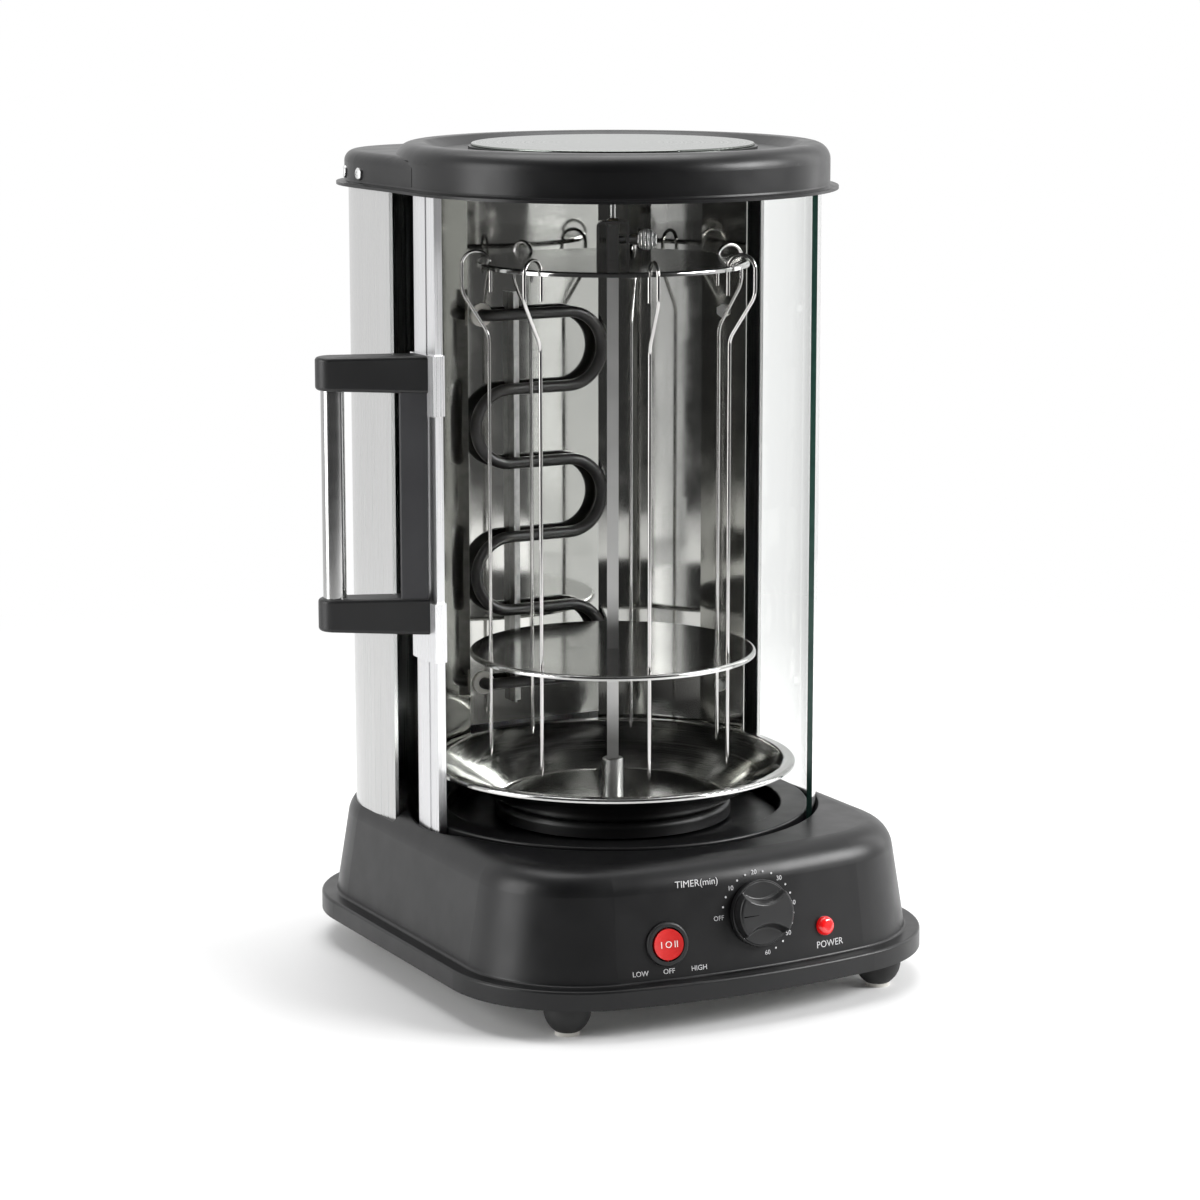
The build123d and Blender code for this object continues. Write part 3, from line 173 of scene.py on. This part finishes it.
# Soft lights: the point they face, then each one's name, bearing, angle up, distance, size and power
LIGHT_AIM = (0, 0, 0.22)
SOFT_LIGHTS = [
    ("front_soft", 50, 25, 2.0, (1.1, 0.8), 46),
    ("top_soft", 170, 76, 1.9, (1.7, 1.4), 30),
    ("left_soft", -96, 12, 1.9, (0.9, 1.5), 22),
    ("right_soft", 100, 20, 1.9, (0.4, 1.5), 4),
]

# Part of its range that a noise texture mostly keeps to
NOISE_RANGE = (0.3, 0.7)


# Materials


def principled(name, color, roughness, metallic=0.0, **sockets):
    """A material whose principled shader has the given constants."""
    material = bpy.data.materials.new(name)
    material.use_nodes = True
    shader = material.node_tree.nodes["Principled BSDF"]
    shader.inputs["Base Color"].default_value = (*color, 1)
    shader.inputs["Roughness"].default_value = roughness
    shader.inputs["Metallic"].default_value = metallic
    for socket, value in sockets.items():
        shader.inputs[socket.replace("_", " ")].default_value = value
    return material


def add_node(material, kind, **inputs):
    """A node of the material's tree, with some of its inputs set or linked."""
    tree = material.node_tree
    node = tree.nodes.new(kind)
    for socket, value in inputs.items():
        if isinstance(value, bpy.types.NodeSocket):
            tree.links.new(value, node.inputs[socket])
        else:
            node.inputs[socket].default_value = value
    return node


def math_node(owner, kind, operation, *values):
    """The number from a math node of the owner's tree, its inputs set or linked in order."""
    tree = owner.node_tree
    node = tree.nodes.new(kind)
    node.operation = operation
    for socket, value in zip(node.inputs, values):
        if isinstance(value, bpy.types.NodeSocket):
            tree.links.new(value, socket)
        else:
            socket.default_value = value
    return node.outputs["Value"]


def noise(material, scale, detail=3.0, stretch=(1, 1, 1)):
    """Noise in the piece's own space: scale is in features per metre, stretch multiplies it by axis."""
    place = add_node(material, "ShaderNodeTexCoord")
    mapping = add_node(material, "ShaderNodeMapping", Vector=place.outputs["Object"])
    mapping.inputs["Scale"].default_value = [scale * part for part in stretch]
    return add_node(
        material, "ShaderNodeTexNoise", Vector=mapping.outputs["Vector"], Scale=1.0, Detail=detail
    ).outputs["Fac"]


def ring_noise(material, scale, detail=4.0):
    """Noise that changes only with the distance from the spit's axis, as on spun metal."""
    place = add_node(material, "ShaderNodeTexCoord")
    flat = add_node(material, "ShaderNodeMapping", Vector=place.outputs["Object"])
    flat.inputs["Scale"].default_value = (scale, scale, 0)
    length = math_node(material, "ShaderNodeVectorMath", "LENGTH", flat.outputs["Vector"])
    texture = add_node(material, "ShaderNodeTexNoise", Scale=1.0, Detail=detail)
    texture.noise_dimensions = "1D"
    material.node_tree.links.new(length, texture.inputs["W"])
    return texture.outputs["Fac"]


def shader_of(material):
    """The material's principled shader."""
    return material.node_tree.nodes["Principled BSDF"]


def vary(material, socket, source, low, high):
    """Spreads a texture over a range of one of the shader's numbers."""
    spread = add_node(material, "ShaderNodeMapRange", Value=source)
    spread.inputs["From Min"].default_value = NOISE_RANGE[0]
    spread.inputs["From Max"].default_value = NOISE_RANGE[1]
    spread.inputs["To Min"].default_value = low
    spread.inputs["To Max"].default_value = high
    material.node_tree.links.new(spread.outputs["Result"], shader_of(material).inputs[socket])


def tint(material, source, dark, light):
    """Spreads a texture between two base colours."""
    ramp = add_node(material, "ShaderNodeValToRGB", Fac=source)
    for stop, place, color in zip(ramp.color_ramp.elements, NOISE_RANGE, (dark, light)):
        stop.position = place
        stop.color = (*color, 1)
    material.node_tree.links.new(ramp.outputs["Color"], shader_of(material).inputs["Base Color"])


def relief(material, source, depth, strength=1.0):
    """Raises a texture from the surface, depth in metres."""
    bump = add_node(material, "ShaderNodeBump", Height=source, Distance=depth, Strength=strength)
    material.node_tree.links.new(bump.outputs["Normal"], shader_of(material).inputs["Normal"])


def coated(name, dark, light, roughness, grain_scale, grain_depth, **sockets):
    """Paint, plastic or rubber with a fine grain and slightly uneven gloss."""
    material = principled(name, light, roughness, **sockets)
    tint(material, noise(material, 35, 4), dark, light)
    vary(material, "Roughness", noise(material, 60, 5), roughness - 0.04, roughness + 0.05)
    relief(material, noise(material, grain_scale, 2), grain_depth, 0.5)
    return material


def brushed(name, dark, light, roughness, stretch, depth=0.00002):
    """Metal with brush lines along the axis that stretch holds short."""
    material = principled(name, light, roughness, 1.0)
    lines = noise(material, 1, 4, stretch)
    tint(material, lines, dark, light)
    vary(material, "Roughness", lines, roughness - 0.06, roughness + 0.06)
    relief(material, lines, depth, 0.4)
    return material


def spun(name, dark, light, roughness, **sockets):
    """Metal turned about the spit's axis, with fine rings."""
    material = principled(name, light, roughness, 1.0, **sockets)
    rings = ring_noise(material, 900)
    tint(material, noise(material, 25, 4), dark, light)
    vary(material, "Roughness", rings, roughness - 0.04, roughness + 0.06)
    relief(material, rings, 0.00001, 0.35)
    return material


def polished(name, dark, light, roughness, wave_depth):
    """Bright metal with a soft waviness and faint smears."""
    material = principled(name, light, roughness, 1.0)
    tint(material, noise(material, 18, 4), dark, light)
    vary(material, "Roughness", noise(material, 45, 6), roughness - 0.02, roughness + 0.05)
    relief(material, noise(material, 14, 1), wave_depth, 0.4)
    return material


black_paint = coated(
    "black_paint",
    (0.0040, 0.0040, 0.0045),
    (0.0062, 0.0062, 0.0067),
    0.35,
    1500,
    0.00003,
    Specular_IOR_Level=0.36,
)
black_plastic = coated("black_plastic", (0.005, 0.005, 0.0055), (0.008, 0.008, 0.0085), 0.42, 2200, 0.00003)
# Painted shade: a dark grey plastic for the handle's back strip, standing in for the shaded side of the
# door's profile
shade_strip_plastic = coated("shade_strip_plastic", (0.026, 0.026, 0.029), (0.034, 0.034, 0.037), 0.45, 2200, 0.00003)
knob_plastic = coated("knob_plastic", (0.008, 0.008, 0.0085), (0.013, 0.013, 0.0135), 0.34, 2600, 0.00002)
# Painted shade: an unlit flat black that stands in for the shade in the knob's pointer notch
pointer_notch_shade = coated(
    "pointer_notch_shade",
    (0.0008, 0.0008, 0.0008),
    (0.0016, 0.0016, 0.0016),
    0.80,
    2600,
    0.00001,
    Specular_IOR_Level=0.0,
)
rubber = coated("rubber", (0.006, 0.006, 0.006), (0.010, 0.010, 0.010), 0.62, 1200, 0.00005)
pale_pad = coated("pale_pad", (0.58, 0.56, 0.52), (0.68, 0.66, 0.62), 0.70, 900, 0.00005)
print_ink = coated("print_ink", (0.56, 0.56, 0.57), (0.66, 0.66, 0.67), 0.55, 3000, 0.00001)
white_ink = coated("white_ink", (0.78, 0.76, 0.74), (0.86, 0.84, 0.82), 0.50, 3000, 0.00001)
ceramic = coated("ceramic", (0.62, 0.60, 0.55), (0.74, 0.72, 0.67), 0.50, 800, 0.00004)
heater_metal = coated("heater_metal", (0.008, 0.0075, 0.0075), (0.022, 0.020, 0.019), 0.40, 700, 0.00004)
housing_steel = brushed(
    "housing_steel", (0.55, 0.55, 0.55), (0.58, 0.58, 0.575), 0.30, (2600, 2600, 10), 0.0000015
)
aluminium = brushed("aluminium", (0.68, 0.68, 0.69), (0.72, 0.72, 0.73), 0.30, (2400, 2400, 8), 0.0000015)
zinc_steel = brushed("zinc_steel", (0.36, 0.36, 0.35), (0.50, 0.50, 0.49), 0.40, (240, 240, 240), 0.00001)
brass = brushed("brass", (0.48, 0.34, 0.14), (0.62, 0.46, 0.20), 0.30, (200, 200, 1800), 0.00001)
grip_steel = polished("grip_steel", (0.38, 0.38, 0.38), (0.43, 0.43, 0.425), 0.15, 0.00005)
chrome = polished("chrome", (0.70, 0.70, 0.70), (0.78, 0.78, 0.78), 0.28, 0.00005)
satin_steel = polished("satin_steel", (0.58, 0.58, 0.57), (0.66, 0.66, 0.65), 0.30, 0.00005)
mirror_steel = polished("mirror_steel", (0.45, 0.45, 0.43), (0.50, 0.50, 0.475), 0.06, 0.00012)
bright_steel = polished("bright_steel", (0.46, 0.45, 0.44), (0.60, 0.59, 0.58), 0.12, 0.0002)
pan_steel = spun("pan_steel", (0.46, 0.46, 0.45), (0.60, 0.60, 0.59), 0.13)
disc_metal = spun(
    "disc_metal", (0.205, 0.22, 0.205), (0.23, 0.245, 0.23), 0.12, Specular_Tint=(0.72, 0.73, 0.72, 1)
)

red_plastic = principled("red_plastic", (0.62, 0.012, 0.012), 0.28, Coat_Weight=0.4, Coat_Roughness=0.15)
tint(red_plastic, noise(red_plastic, 120, 3), (0.52, 0.008, 0.008), (0.66, 0.016, 0.014))
relief(red_plastic, noise(red_plastic, 1800, 2), 0.00002, 0.4)

lamp_red = principled(
    "lamp_red", (0.70, 0.006, 0.008), 0.10, Coat_Weight=1.0, Coat_Roughness=0.04, Emission_Strength=0.35
)
shader_of(lamp_red).inputs["Emission Color"].default_value = (0.8, 0.01, 0.01, 1)
tint(lamp_red, noise(lamp_red, 260, 3), (0.60, 0.003, 0.005), (0.78, 0.010, 0.012))

glass = principled("glass", (0.97, 0.985, 0.975), 0.0, Transmission_Weight=1.0, IOR=1.45)
vary(glass, "Roughness", noise(glass, 30, 5), 0.0, 0.02)
glass_edge = principled("glass_edge", (0.030, 0.085, 0.065), 0.16, Transmission_Weight=0.25, IOR=1.45)
tint(glass_edge, noise(glass_edge, 80, 4), (0.022, 0.070, 0.054), (0.040, 0.105, 0.082))

finishes = {
    black_paint: ["base_shell", "lid_cover", "lid_liner"],
    black_plastic: [
        "cable_gland",
        "turntable",
        "timer_body",
        "switch_body",
        "lamp_body",
        "handle_arm_upper",
        "handle_arm_lower",
    ],
    knob_plastic: ["timer_knob"],
    rubber: [name for name in nodes if name.startswith("foot_")],
    pale_pad: [name for name in nodes if name.startswith("pad_")],
    red_plastic: ["rocker"],
    lamp_red: ["lamp_lens"],
    zinc_steel: ["bottom_plate", "base_screws", "motor", "motor_screws", "drive_shaft", "heater_bracket"],
    housing_steel: ["rear_housing"],
    grip_steel: ["grip_tube"],
    mirror_steel: ["reflector"],
    chrome: ["lid_screws", "reflector_bolts", "thumb_screw"],
    satin_steel: ["spit_socket", "spit_shaft"],
    bright_steel: ["cross_pin", "clamp_bracket"] + [name for name in nodes if name.startswith("skewer_")],
    pan_steel: ["drip_pan", "lower_plate", "upper_plate"],
    disc_metal: ["lid_disc"],
    brass: ["spit_bush"],
    heater_metal: ["heater"],
    ceramic: ["heater_bush_upper", "heater_bush_lower"],
    glass: ["door_glass"],
    aluminium: ["door_profile", "clip_upper", "clip_lower"],
}
for material, names in finishes.items():
    for name in names:
        nodes[name].data.materials.clear()
        nodes[name].data.materials.append(material)


# Pieces


def new_piece(name, mesh, body, slot, *materials):
    """A mesh as a piece of the object, riding on a body."""
    piece = bpy.data.objects.new(name, mesh)
    bpy.context.scene.collection.objects.link(piece)
    for material in materials:
        mesh.materials.append(material)
    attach(piece, body)
    return piece


def mesh_of(name, build):
    """Turns a finished build into a mesh."""
    mesh = bpy.data.meshes.new(name)
    build.to_mesh(mesh)
    build.free()
    return mesh


def join_rings(build, near, far):
    """The faces between two closed rings of points, in the rings' order."""
    after = [*range(1, len(near)), 0]
    return [
        build.faces.new((near[side], near[ahead], far[ahead], far[side])) for side, ahead in enumerate(after)
    ]


def wall_point(x, z, lift=PRINT_LIFT):
    """A point on the bowed, leaning front wall, x along the bow."""
    radius = BOW_RADIUS - (z - WALL_FOOT_Z) * tan(WALL_LEAN)
    turn = x / radius
    out = Vector((sin(turn) * cos(WALL_LEAN), -cos(turn) * cos(WALL_LEAN), sin(WALL_LEAN)))
    return Vector((radius * sin(turn), BOW_RADIUS - WALL_FRONT - radius * cos(turn), z)) + lift * out


def letters(words, height):
    """Outlines of a line of text as (points, faces), centred, capitals of the given height."""
    curve = bpy.data.curves.new("letters", "FONT")
    curve.body = words
    curve.size = height / CAPITAL_SHARE
    curve.align_x = "CENTER"
    curve.resolution_u = 3
    writing = bpy.data.objects.new("letters", curve)
    bpy.context.scene.collection.objects.link(writing)
    mesh = bpy.data.meshes.new_from_object(writing.evaluated_get(bpy.context.evaluated_depsgraph_get()))
    points = [(vertex.co.x, vertex.co.y - height / 2) for vertex in mesh.vertices]
    faces = [list(polygon.vertices) for polygon in mesh.polygons]
    bpy.data.objects.remove(writing)
    bpy.data.curves.remove(curve)
    bpy.data.meshes.remove(mesh)
    return points, faces


def dot(radius, sides=14):
    """A small round dot as (points, faces)."""
    turns = [2 * pi * side / sides for side in range(sides)]
    return [(radius * cos(turn), radius * sin(turn)) for turn in turns], [list(range(sides))]


def wall_print(marks):
    """One mesh from marks laid on the front wall, each with its place across and up."""
    build = bmesh.new()
    for (points, faces), (across, up) in marks:
        corners = [build.verts.new(wall_point(across + x, up + y * cos(WALL_LEAN))) for x, y in points]
        for face in faces:
            build.faces.new([corners[index] for index in face])
    return mesh_of("wall_print", build)


def dial_place(share, radius=DIAL_RADIUS):
    """Place on the wall of a share of the timer's sweep."""
    turn = radians(DIAL_START + DIAL_SWEEP * share)
    return KNOB[0] + radius * sin(turn), KNOB[1] + radius * cos(turn) * cos(WALL_LEAN)


marks = [(letters(words, height), place) for words, height, place in WALL_WORDS]
for number, words in enumerate(DIAL_WORDS):
    share = number / (len(DIAL_WORDS) - 1)
    reach = DIAL_RADIUS + (DIAL_OFF_SHIFT if words == "OFF" else 0)
    marks.append((letters(words, DIAL_HEIGHT), dial_place(share, reach)))
    if number:
        for third in (1, 2):
            marks.append((dot(DOT_RADIUS), dial_place(share - third / 3 / (len(DIAL_WORDS) - 1))))
new_piece("panel_print", wall_print(marks), "base", "pale_pad", print_ink)


def wall_frame(place, lift):
    """Axes on the front wall: across, up the wall, and out of it."""
    radius = BOW_RADIUS - (place[1] - WALL_FOOT_Z) * tan(WALL_LEAN)
    turn = place[0] / radius
    across = Vector((cos(turn), sin(turn), 0))
    out = Vector((sin(turn) * cos(WALL_LEAN), -cos(turn) * cos(WALL_LEAN), sin(WALL_LEAN)))
    up = out.cross(across)
    origin = wall_point(*place, lift)
    return Matrix.LocRotScale(origin, Matrix((across, up, out)).transposed(), None)


def rocker_print():
    """The three switch marks, bent to the rocker's dished face."""
    build = bmesh.new()
    place = wall_frame(ROCKER, ROCKER_RISE + PRINT_LIFT)
    for words, shift in ROCKER_MARKS:
        points, faces = letters(words, ROCKER_MARK_HEIGHT)
        corners = []
        for x, y in points:
            across = x + shift
            rise = ROCKER_DISH - sqrt(ROCKER_DISH**2 - across**2)
            corners.append(build.verts.new(place @ Vector((across, y, rise))))
        for face in faces:
            build.faces.new([corners[index] for index in face])
    return mesh_of("rocker_print", build)


new_piece("rocker_print", rocker_print(), "rocker", "pale_pad", white_ink)


def round_cap(build, place, radii, height, foot, sides):
    """A closed round piece: height(x, y) over the radii, then the foot's pairs of radius and rise."""
    turns = [2 * pi * side / sides for side in range(sides)]
    middle = build.verts.new(place @ Vector((0, 0, height(0, 0))))
    rings = []
    for radius in radii:
        spots = [(radius * cos(turn), radius * sin(turn)) for turn in turns]
        rings.append([build.verts.new(place @ Vector((x, y, height(x, y)))) for x, y in spots])
    for radius, rise in foot:
        spots = [(radius * cos(turn), radius * sin(turn)) for turn in turns]
        rings.append([build.verts.new(place @ Vector((x, y, rise))) for x, y in spots])
    for side in range(sides):
        after = (side + 1) % sides
        build.faces.new((middle, rings[0][side], rings[0][after]))
        for near, far in zip(rings, rings[1:]):
            build.faces.new((near[side], far[side], far[after], near[after]))
    build.faces.new(rings[-1])


def smooth_mesh(name, build, angle):
    """Finishes a mesh, smooth but for edges sharper than the angle."""
    bmesh.ops.recalc_face_normals(build, faces=build.faces)
    for face in build.faces:
        face.smooth = True
    for edge in build.edges:
        edge.smooth = edge.calc_face_angle(0) < radians(angle)
    return mesh_of(name, build)


def soft_step(share):
    """A share from 0 to 1, eased at both ends."""
    share = min(max(share, 0), 1)
    return share * share * (3 - 2 * share)


def knob_rise(x, y):
    """Height of the knob's face: a finger bar between two scoops, its rim rounded."""
    over = max(hypot(x, y) - (KNOB_CAP - KNOB_ROUND), 0)
    crown = KNOB_TOP - KNOB_ROUND + sqrt(max(KNOB_ROUND**2 - over**2, 0))
    bar = SCOOP_CENTRE - sqrt(SCOOP_RADIUS**2 - x**2)
    return crown + (SCOOP_FLOOR - crown) * soft_step((abs(y) - bar) / SCOOP_SLOPE)


def timer_knob():
    """The knob with its skirt and the stem that goes into the timer."""
    flat = KNOB_CAP - KNOB_ROUND
    radii = [flat * (ring + 1) / KNOB_RINGS for ring in range(KNOB_RINGS)]
    radii += [flat + KNOB_ROUND * sin(pi / 2 * (ring + 1) / KNOB_RIM_RINGS) for ring in range(KNOB_RIM_RINGS)]
    foot = [
        (KNOB_CAP + KNOB_STEP, KNOB_SKIRT),
        (KNOB_RADIUS - KNOB_ARRIS, KNOB_SKIRT),
        (KNOB_RADIUS, KNOB_SKIRT - KNOB_ARRIS),
        (KNOB_RADIUS, KNOB_GAP),
        (KNOB_STEM, KNOB_GAP),
        (KNOB_STEM, -KNOB_STEM_DEPTH),
    ]
    build = bmesh.new()
    round_cap(build, wall_frame(KNOB, 0), radii, knob_rise, foot, KNOB_SIDES)
    return smooth_mesh("knob_cap", build, SHARP_ANGLE)


def knob_pointer():
    """The dark line at the finger bar's end, painted shade standing in for the pointer's notch."""
    start, end, width = POINTER
    place = wall_frame(KNOB, KNOB_TOP + PRINT_LIFT)
    build = bmesh.new()
    corners = [(start, -width / 2), (end, -width / 6), (end, width / 6), (start, width / 2)]
    build.faces.new([build.verts.new(place @ Vector((x, y, 0))) for x, y in corners])
    return mesh_of("knob_pointer", build)


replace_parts(new_piece("knob_cap", timer_knob(), "timer_knob", "black_plastic", knob_plastic), "timer_knob")
# Painted shade: a flat dark line in place of the pointer's notch
new_piece("knob_pointer", knob_pointer(), "timer_knob", "black_plastic", pointer_notch_shade)


def screw_rise(x, y):
    """Height of a domed screw head with a cross recess."""
    dome = SCREW_DOME * sqrt(max(1 - SCREW_RIM * (hypot(x, y) / SCREW_RADIUS) ** 2, 0))
    along, aside = max(abs(x), abs(y)), min(abs(x), abs(y))
    cut = soft_step((RECESS_REACH - along) / RECESS_END_SLOPE)
    cut *= soft_step((RECESS_WIDTH - aside) / RECESS_SIDE_SLOPE)
    return dome - RECESS_DEPTH * cut


def screw_heads():
    """The heads of the lid's screws, sunk a little into its wall."""
    build = bmesh.new()
    radii = [SCREW_RADIUS * (ring + 1) / SCREW_RINGS for ring in range(SCREW_RINGS)]
    for spot, bearing in LID_SCREWS:
        turn = radians(bearing)
        out = Vector((sin(turn), -cos(turn), 0))
        across = Vector((cos(turn), sin(turn), 0))
        place = Matrix.LocRotScale(Vector(spot), Matrix((across, Vector((0, 0, 1)), out)).transposed(), None)
        round_cap(build, place, radii, screw_rise, [(SCREW_RADIUS, -SCREW_SINK)], SCREW_SIDES)
    return smooth_mesh("screw_heads", build, SHARP_ANGLE)


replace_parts(new_piece("screw_heads", screw_heads(), "base", "polished_steel", chrome), "lid_screws")


def thumb_ribs():
    """Half-round grip ribs on both faces of the thumb screw's paddle."""
    turn = radians(PADDLE_TURN)
    along = Vector((cos(turn), sin(turn), 0))
    out = Vector((-sin(turn), cos(turn), 0))
    middle = PADDLE_REACH * along + Vector((0, 0, PADDLE_Z))
    arc = [pi * step / RIB_STEPS for step in range(RIB_STEPS + 1)]
    build = bmesh.new()
    for face in (-1, 1):
        for offset in RIB_OFFSETS:
            half = sqrt(PADDLE_RADIUS**2 - offset**2)
            body = half - RIB_END
            rings = []
            for level, share in ((-half, RIB_END_SHARE), (-body, 1), (body, 1), (half, RIB_END_SHARE)):
                ring = []
                for step in arc:
                    across = offset + RIB_WIDTH / 2 * share * cos(step)
                    rise = PADDLE_HALF - RIB_SINK + RIB_RISE * share * sin(step)
                    spot = middle + across * along + face * rise * out + Vector((0, 0, level))
                    ring.append(build.verts.new(spot))
                rings.append(ring)
            for near, far in zip(rings, rings[1:]):
                join_rings(build, near, far)
            build.faces.new(rings[0])
            build.faces.new(rings[-1])
    return smooth_mesh("thumb_ribs", build, SHARP_ANGLE)


new_piece("thumb_ribs", thumb_ribs(), "thumb_screw", "polished_steel", chrome)


def handle_shade_strip():
    """The dark bar between the arms' roots, painted shade for the profile's shaded side, hollowed to the
    door's curve, its outer edges rounded.
    """
    turn = radians(STRIP_BEARING)
    way = Vector((sin(turn), -cos(turn), 0))
    side = Vector((cos(turn), sin(turn), 0))
    root = Vector(STRIP_ROOT)
    low, high = STRIP_SIDES
    plan = []
    for step in range(STRIP_STEPS + 1):
        across = low + (high - low) * step / STRIP_STEPS
        base = root + across * side
        lead = base.dot(way)
        plan.append(base + (sqrt(lead**2 - base.length_squared + STRIP_INNER**2) - lead) * way)
    for across, start in ((high - STRIP_ROUND, 90), (low + STRIP_ROUND, 0)):
        for step in range(BEND_STEPS + 1):
            bend = radians(start - 90 * step / BEND_STEPS)
            out = STRIP_OUT - STRIP_ROUND + STRIP_ROUND * cos(bend)
            plan.append(root + out * way + (across + STRIP_ROUND * sin(bend)) * side)
    build = bmesh.new()
    rings = [[build.verts.new(spot + Vector((0, 0, level))) for spot in plan] for level in STRIP_LEVELS]
    join_rings(build, *rings)
    for ring in rings:
        build.faces.new(ring)
    return smooth_mesh("handle_shade_strip", build, SHARP_ANGLE)


# Painted shade: the dark strip stands in for the shade on the profile's side
new_piece("handle_shade_strip", handle_shade_strip(), "door", "black_plastic", shade_strip_plastic)


def curved_pane():
    """The door's pane: a curved sheet with ground arrises, its edges in a second material."""
    low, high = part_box("door_glass")
    inner, outer, cut = GLASS_OUTER - GLASS_SHEET, GLASS_OUTER, GLASS_ARRIS
    bottom, top = low[2], high[2]
    section = [
        (outer - cut, bottom),
        (outer, bottom + cut),
        (outer, top - cut),
        (outer - cut, top),
        (inner + cut, top),
        (inner, top - cut),
        (inner, bottom + cut),
        (inner + cut, bottom),
    ]
    faces_of_sheet = {1, 5}
    build = bmesh.new()
    rings = []
    for step in range(PANE_STEPS + 1):
        bearing = radians(DOOR_START + (DOOR_END - DOOR_START) * step / PANE_STEPS)
        rings.append([build.verts.new((r * sin(bearing), -r * cos(bearing), z)) for r, z in section])
    for near, far in zip(rings, rings[1:]):
        for side, face in enumerate(join_rings(build, near, far)):
            face.smooth = True
            face.material_index = 0 if side in faces_of_sheet else 1
    for ring in (rings[0], rings[-1]):
        build.faces.new(ring).material_index = 1
    bmesh.ops.recalc_face_normals(build, faces=build.faces)
    for edge in build.edges:
        edge.smooth = edge.calc_face_angle(0) < radians(PANE_SHARP_ANGLE)
    return mesh_of("glass_pane", build)


pane = new_piece("glass_pane", curved_pane(), "door", "glass", glass, glass_edge)
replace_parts(pane, "door_glass")


# Studio


def floor_disc(radius, sides=96):
    """A round floor."""
    build = bmesh.new()
    turns = [2 * pi * side / sides for side in range(sides)]
    build.faces.new([build.verts.new((radius * cos(turn), radius * sin(turn), 0)) for turn in turns])
    return mesh_of("studio_floor", build)


def seen_through(owner):
    """One for rays that come straight from the camera or through glass, else zero."""
    path = add_node(owner, "ShaderNodeLightPath")
    rays = (path.outputs["Is Camera Ray"], path.outputs["Is Transmission Ray"])
    return math_node(owner, "ShaderNodeMath", "MAXIMUM", *rays)


def floor_material():
    """Pale paint that keeps the shadow near the object and fades into the white air further out."""
    material = principled("floor_paint", (0.86, 0.86, 0.86), 0.60)
    tint(material, noise(material, 3, 2), (0.85, 0.85, 0.85), (0.88, 0.88, 0.88))
    tree = material.node_tree
    place = add_node(material, "ShaderNodeTexCoord")
    length = math_node(material, "ShaderNodeVectorMath", "LENGTH", place.outputs["Object"])
    fade = add_node(material, "ShaderNodeMapRange", Value=length)
    fade.interpolation_type = "SMOOTHSTEP"
    fade.inputs["From Min"].default_value = FLOOR_FADE[0]
    fade.inputs["From Max"].default_value = FLOOR_FADE[1]
    share = math_node(
        material, "ShaderNodeMath", "MULTIPLY", fade.outputs["Result"], seen_through(material)
    )
    white = add_node(material, "ShaderNodeEmission", Color=(1, 1, 1, 1), Strength=1.0)
    mix = add_node(material, "ShaderNodeMixShader", Fac=share)
    tree.links.new(shader_of(material).outputs["BSDF"], mix.inputs[1])
    tree.links.new(white.outputs["Emission"], mix.inputs[2])
    tree.links.new(mix.outputs["Shader"], tree.nodes["Material Output"].inputs["Surface"])
    return material


floor = bpy.data.objects.new("studio_floor", floor_disc(FLOOR_RADIUS))
floor.data.materials.append(floor_material())
bpy.context.scene.collection.objects.link(floor)


def studio_air():
    """White to the camera, through glass and, behind the object, in metal; dimmer as light, most in front."""
    world = bpy.data.worlds.new("studio_air")
    world.use_nodes = True
    tree = world.node_tree
    place = add_node(world, "ShaderNodeTexCoord")
    front = (sin(radians(CAMERA_TURN)), -cos(radians(CAMERA_TURN)), 0)
    ahead = math_node(world, "ShaderNodeVectorMath", "DOT_PRODUCT", place.outputs["Generated"], front)
    level = add_node(world, "ShaderNodeMapRange", Value=ahead)
    level.interpolation_type = "SMOOTHSTEP"
    level.inputs["From Min"].default_value = AIR_FADE[0]
    level.inputs["From Max"].default_value = AIR_FADE[1]
    glossy = add_node(world, "ShaderNodeLightPath").outputs["Is Glossy Ray"]
    back_level = math_node(world, "ShaderNodeMath", "MULTIPLY_ADD", glossy, 1 - AIR_BACK, AIR_BACK)
    tree.links.new(back_level, level.inputs["To Min"])
    level.inputs["To Max"].default_value = AIR_FRONT
    strength = add_node(world, "ShaderNodeMix", Factor=seen_through(world), A=level.outputs["Result"], B=1.0)
    back = tree.nodes["Background"]
    back.inputs["Color"].default_value = (1, 1, 1, 1)
    tree.links.new(strength.outputs["Result"], back.inputs["Strength"])
    return world


bpy.context.scene.world = studio_air()


def soft_light(name, bearing, height, distance, size, power):
    """A large rectangular lamp turned towards the object; angles in degrees, bearing from the front."""
    middle = Vector(LIGHT_AIM)
    reach = distance * cos(radians(height))
    place = middle + Vector(
        (reach * sin(radians(bearing)), -reach * cos(radians(bearing)), distance * sin(radians(height)))
    )
    lamp = bpy.data.lights.new(name, "AREA")
    lamp.shape = "RECTANGLE"
    lamp.size, lamp.size_y = size
    lamp.energy = power
    holder = bpy.data.objects.new(name, lamp)
    holder.location = place
    holder.rotation_euler = (middle - place).to_track_quat("-Z", "Y").to_euler()
    bpy.context.scene.collection.objects.link(holder)


for settings in SOFT_LIGHTS:
    soft_light(*settings)

lens = bpy.data.cameras.new("camera")
lens.lens = CAMERA_LENS
lens.sensor_width = CAMERA_SENSOR
lens.shift_x = CAMERA_SHIFT
camera = bpy.data.objects.new("camera", lens)
camera.location = CAMERA_PLACE
camera.rotation_euler = (radians(90 - CAMERA_PITCH), 0, radians(CAMERA_TURN))
bpy.context.scene.collection.objects.link(camera)
bpy.context.scene.camera = camera
bpy.context.scene.view_settings.view_transform = "Standard"
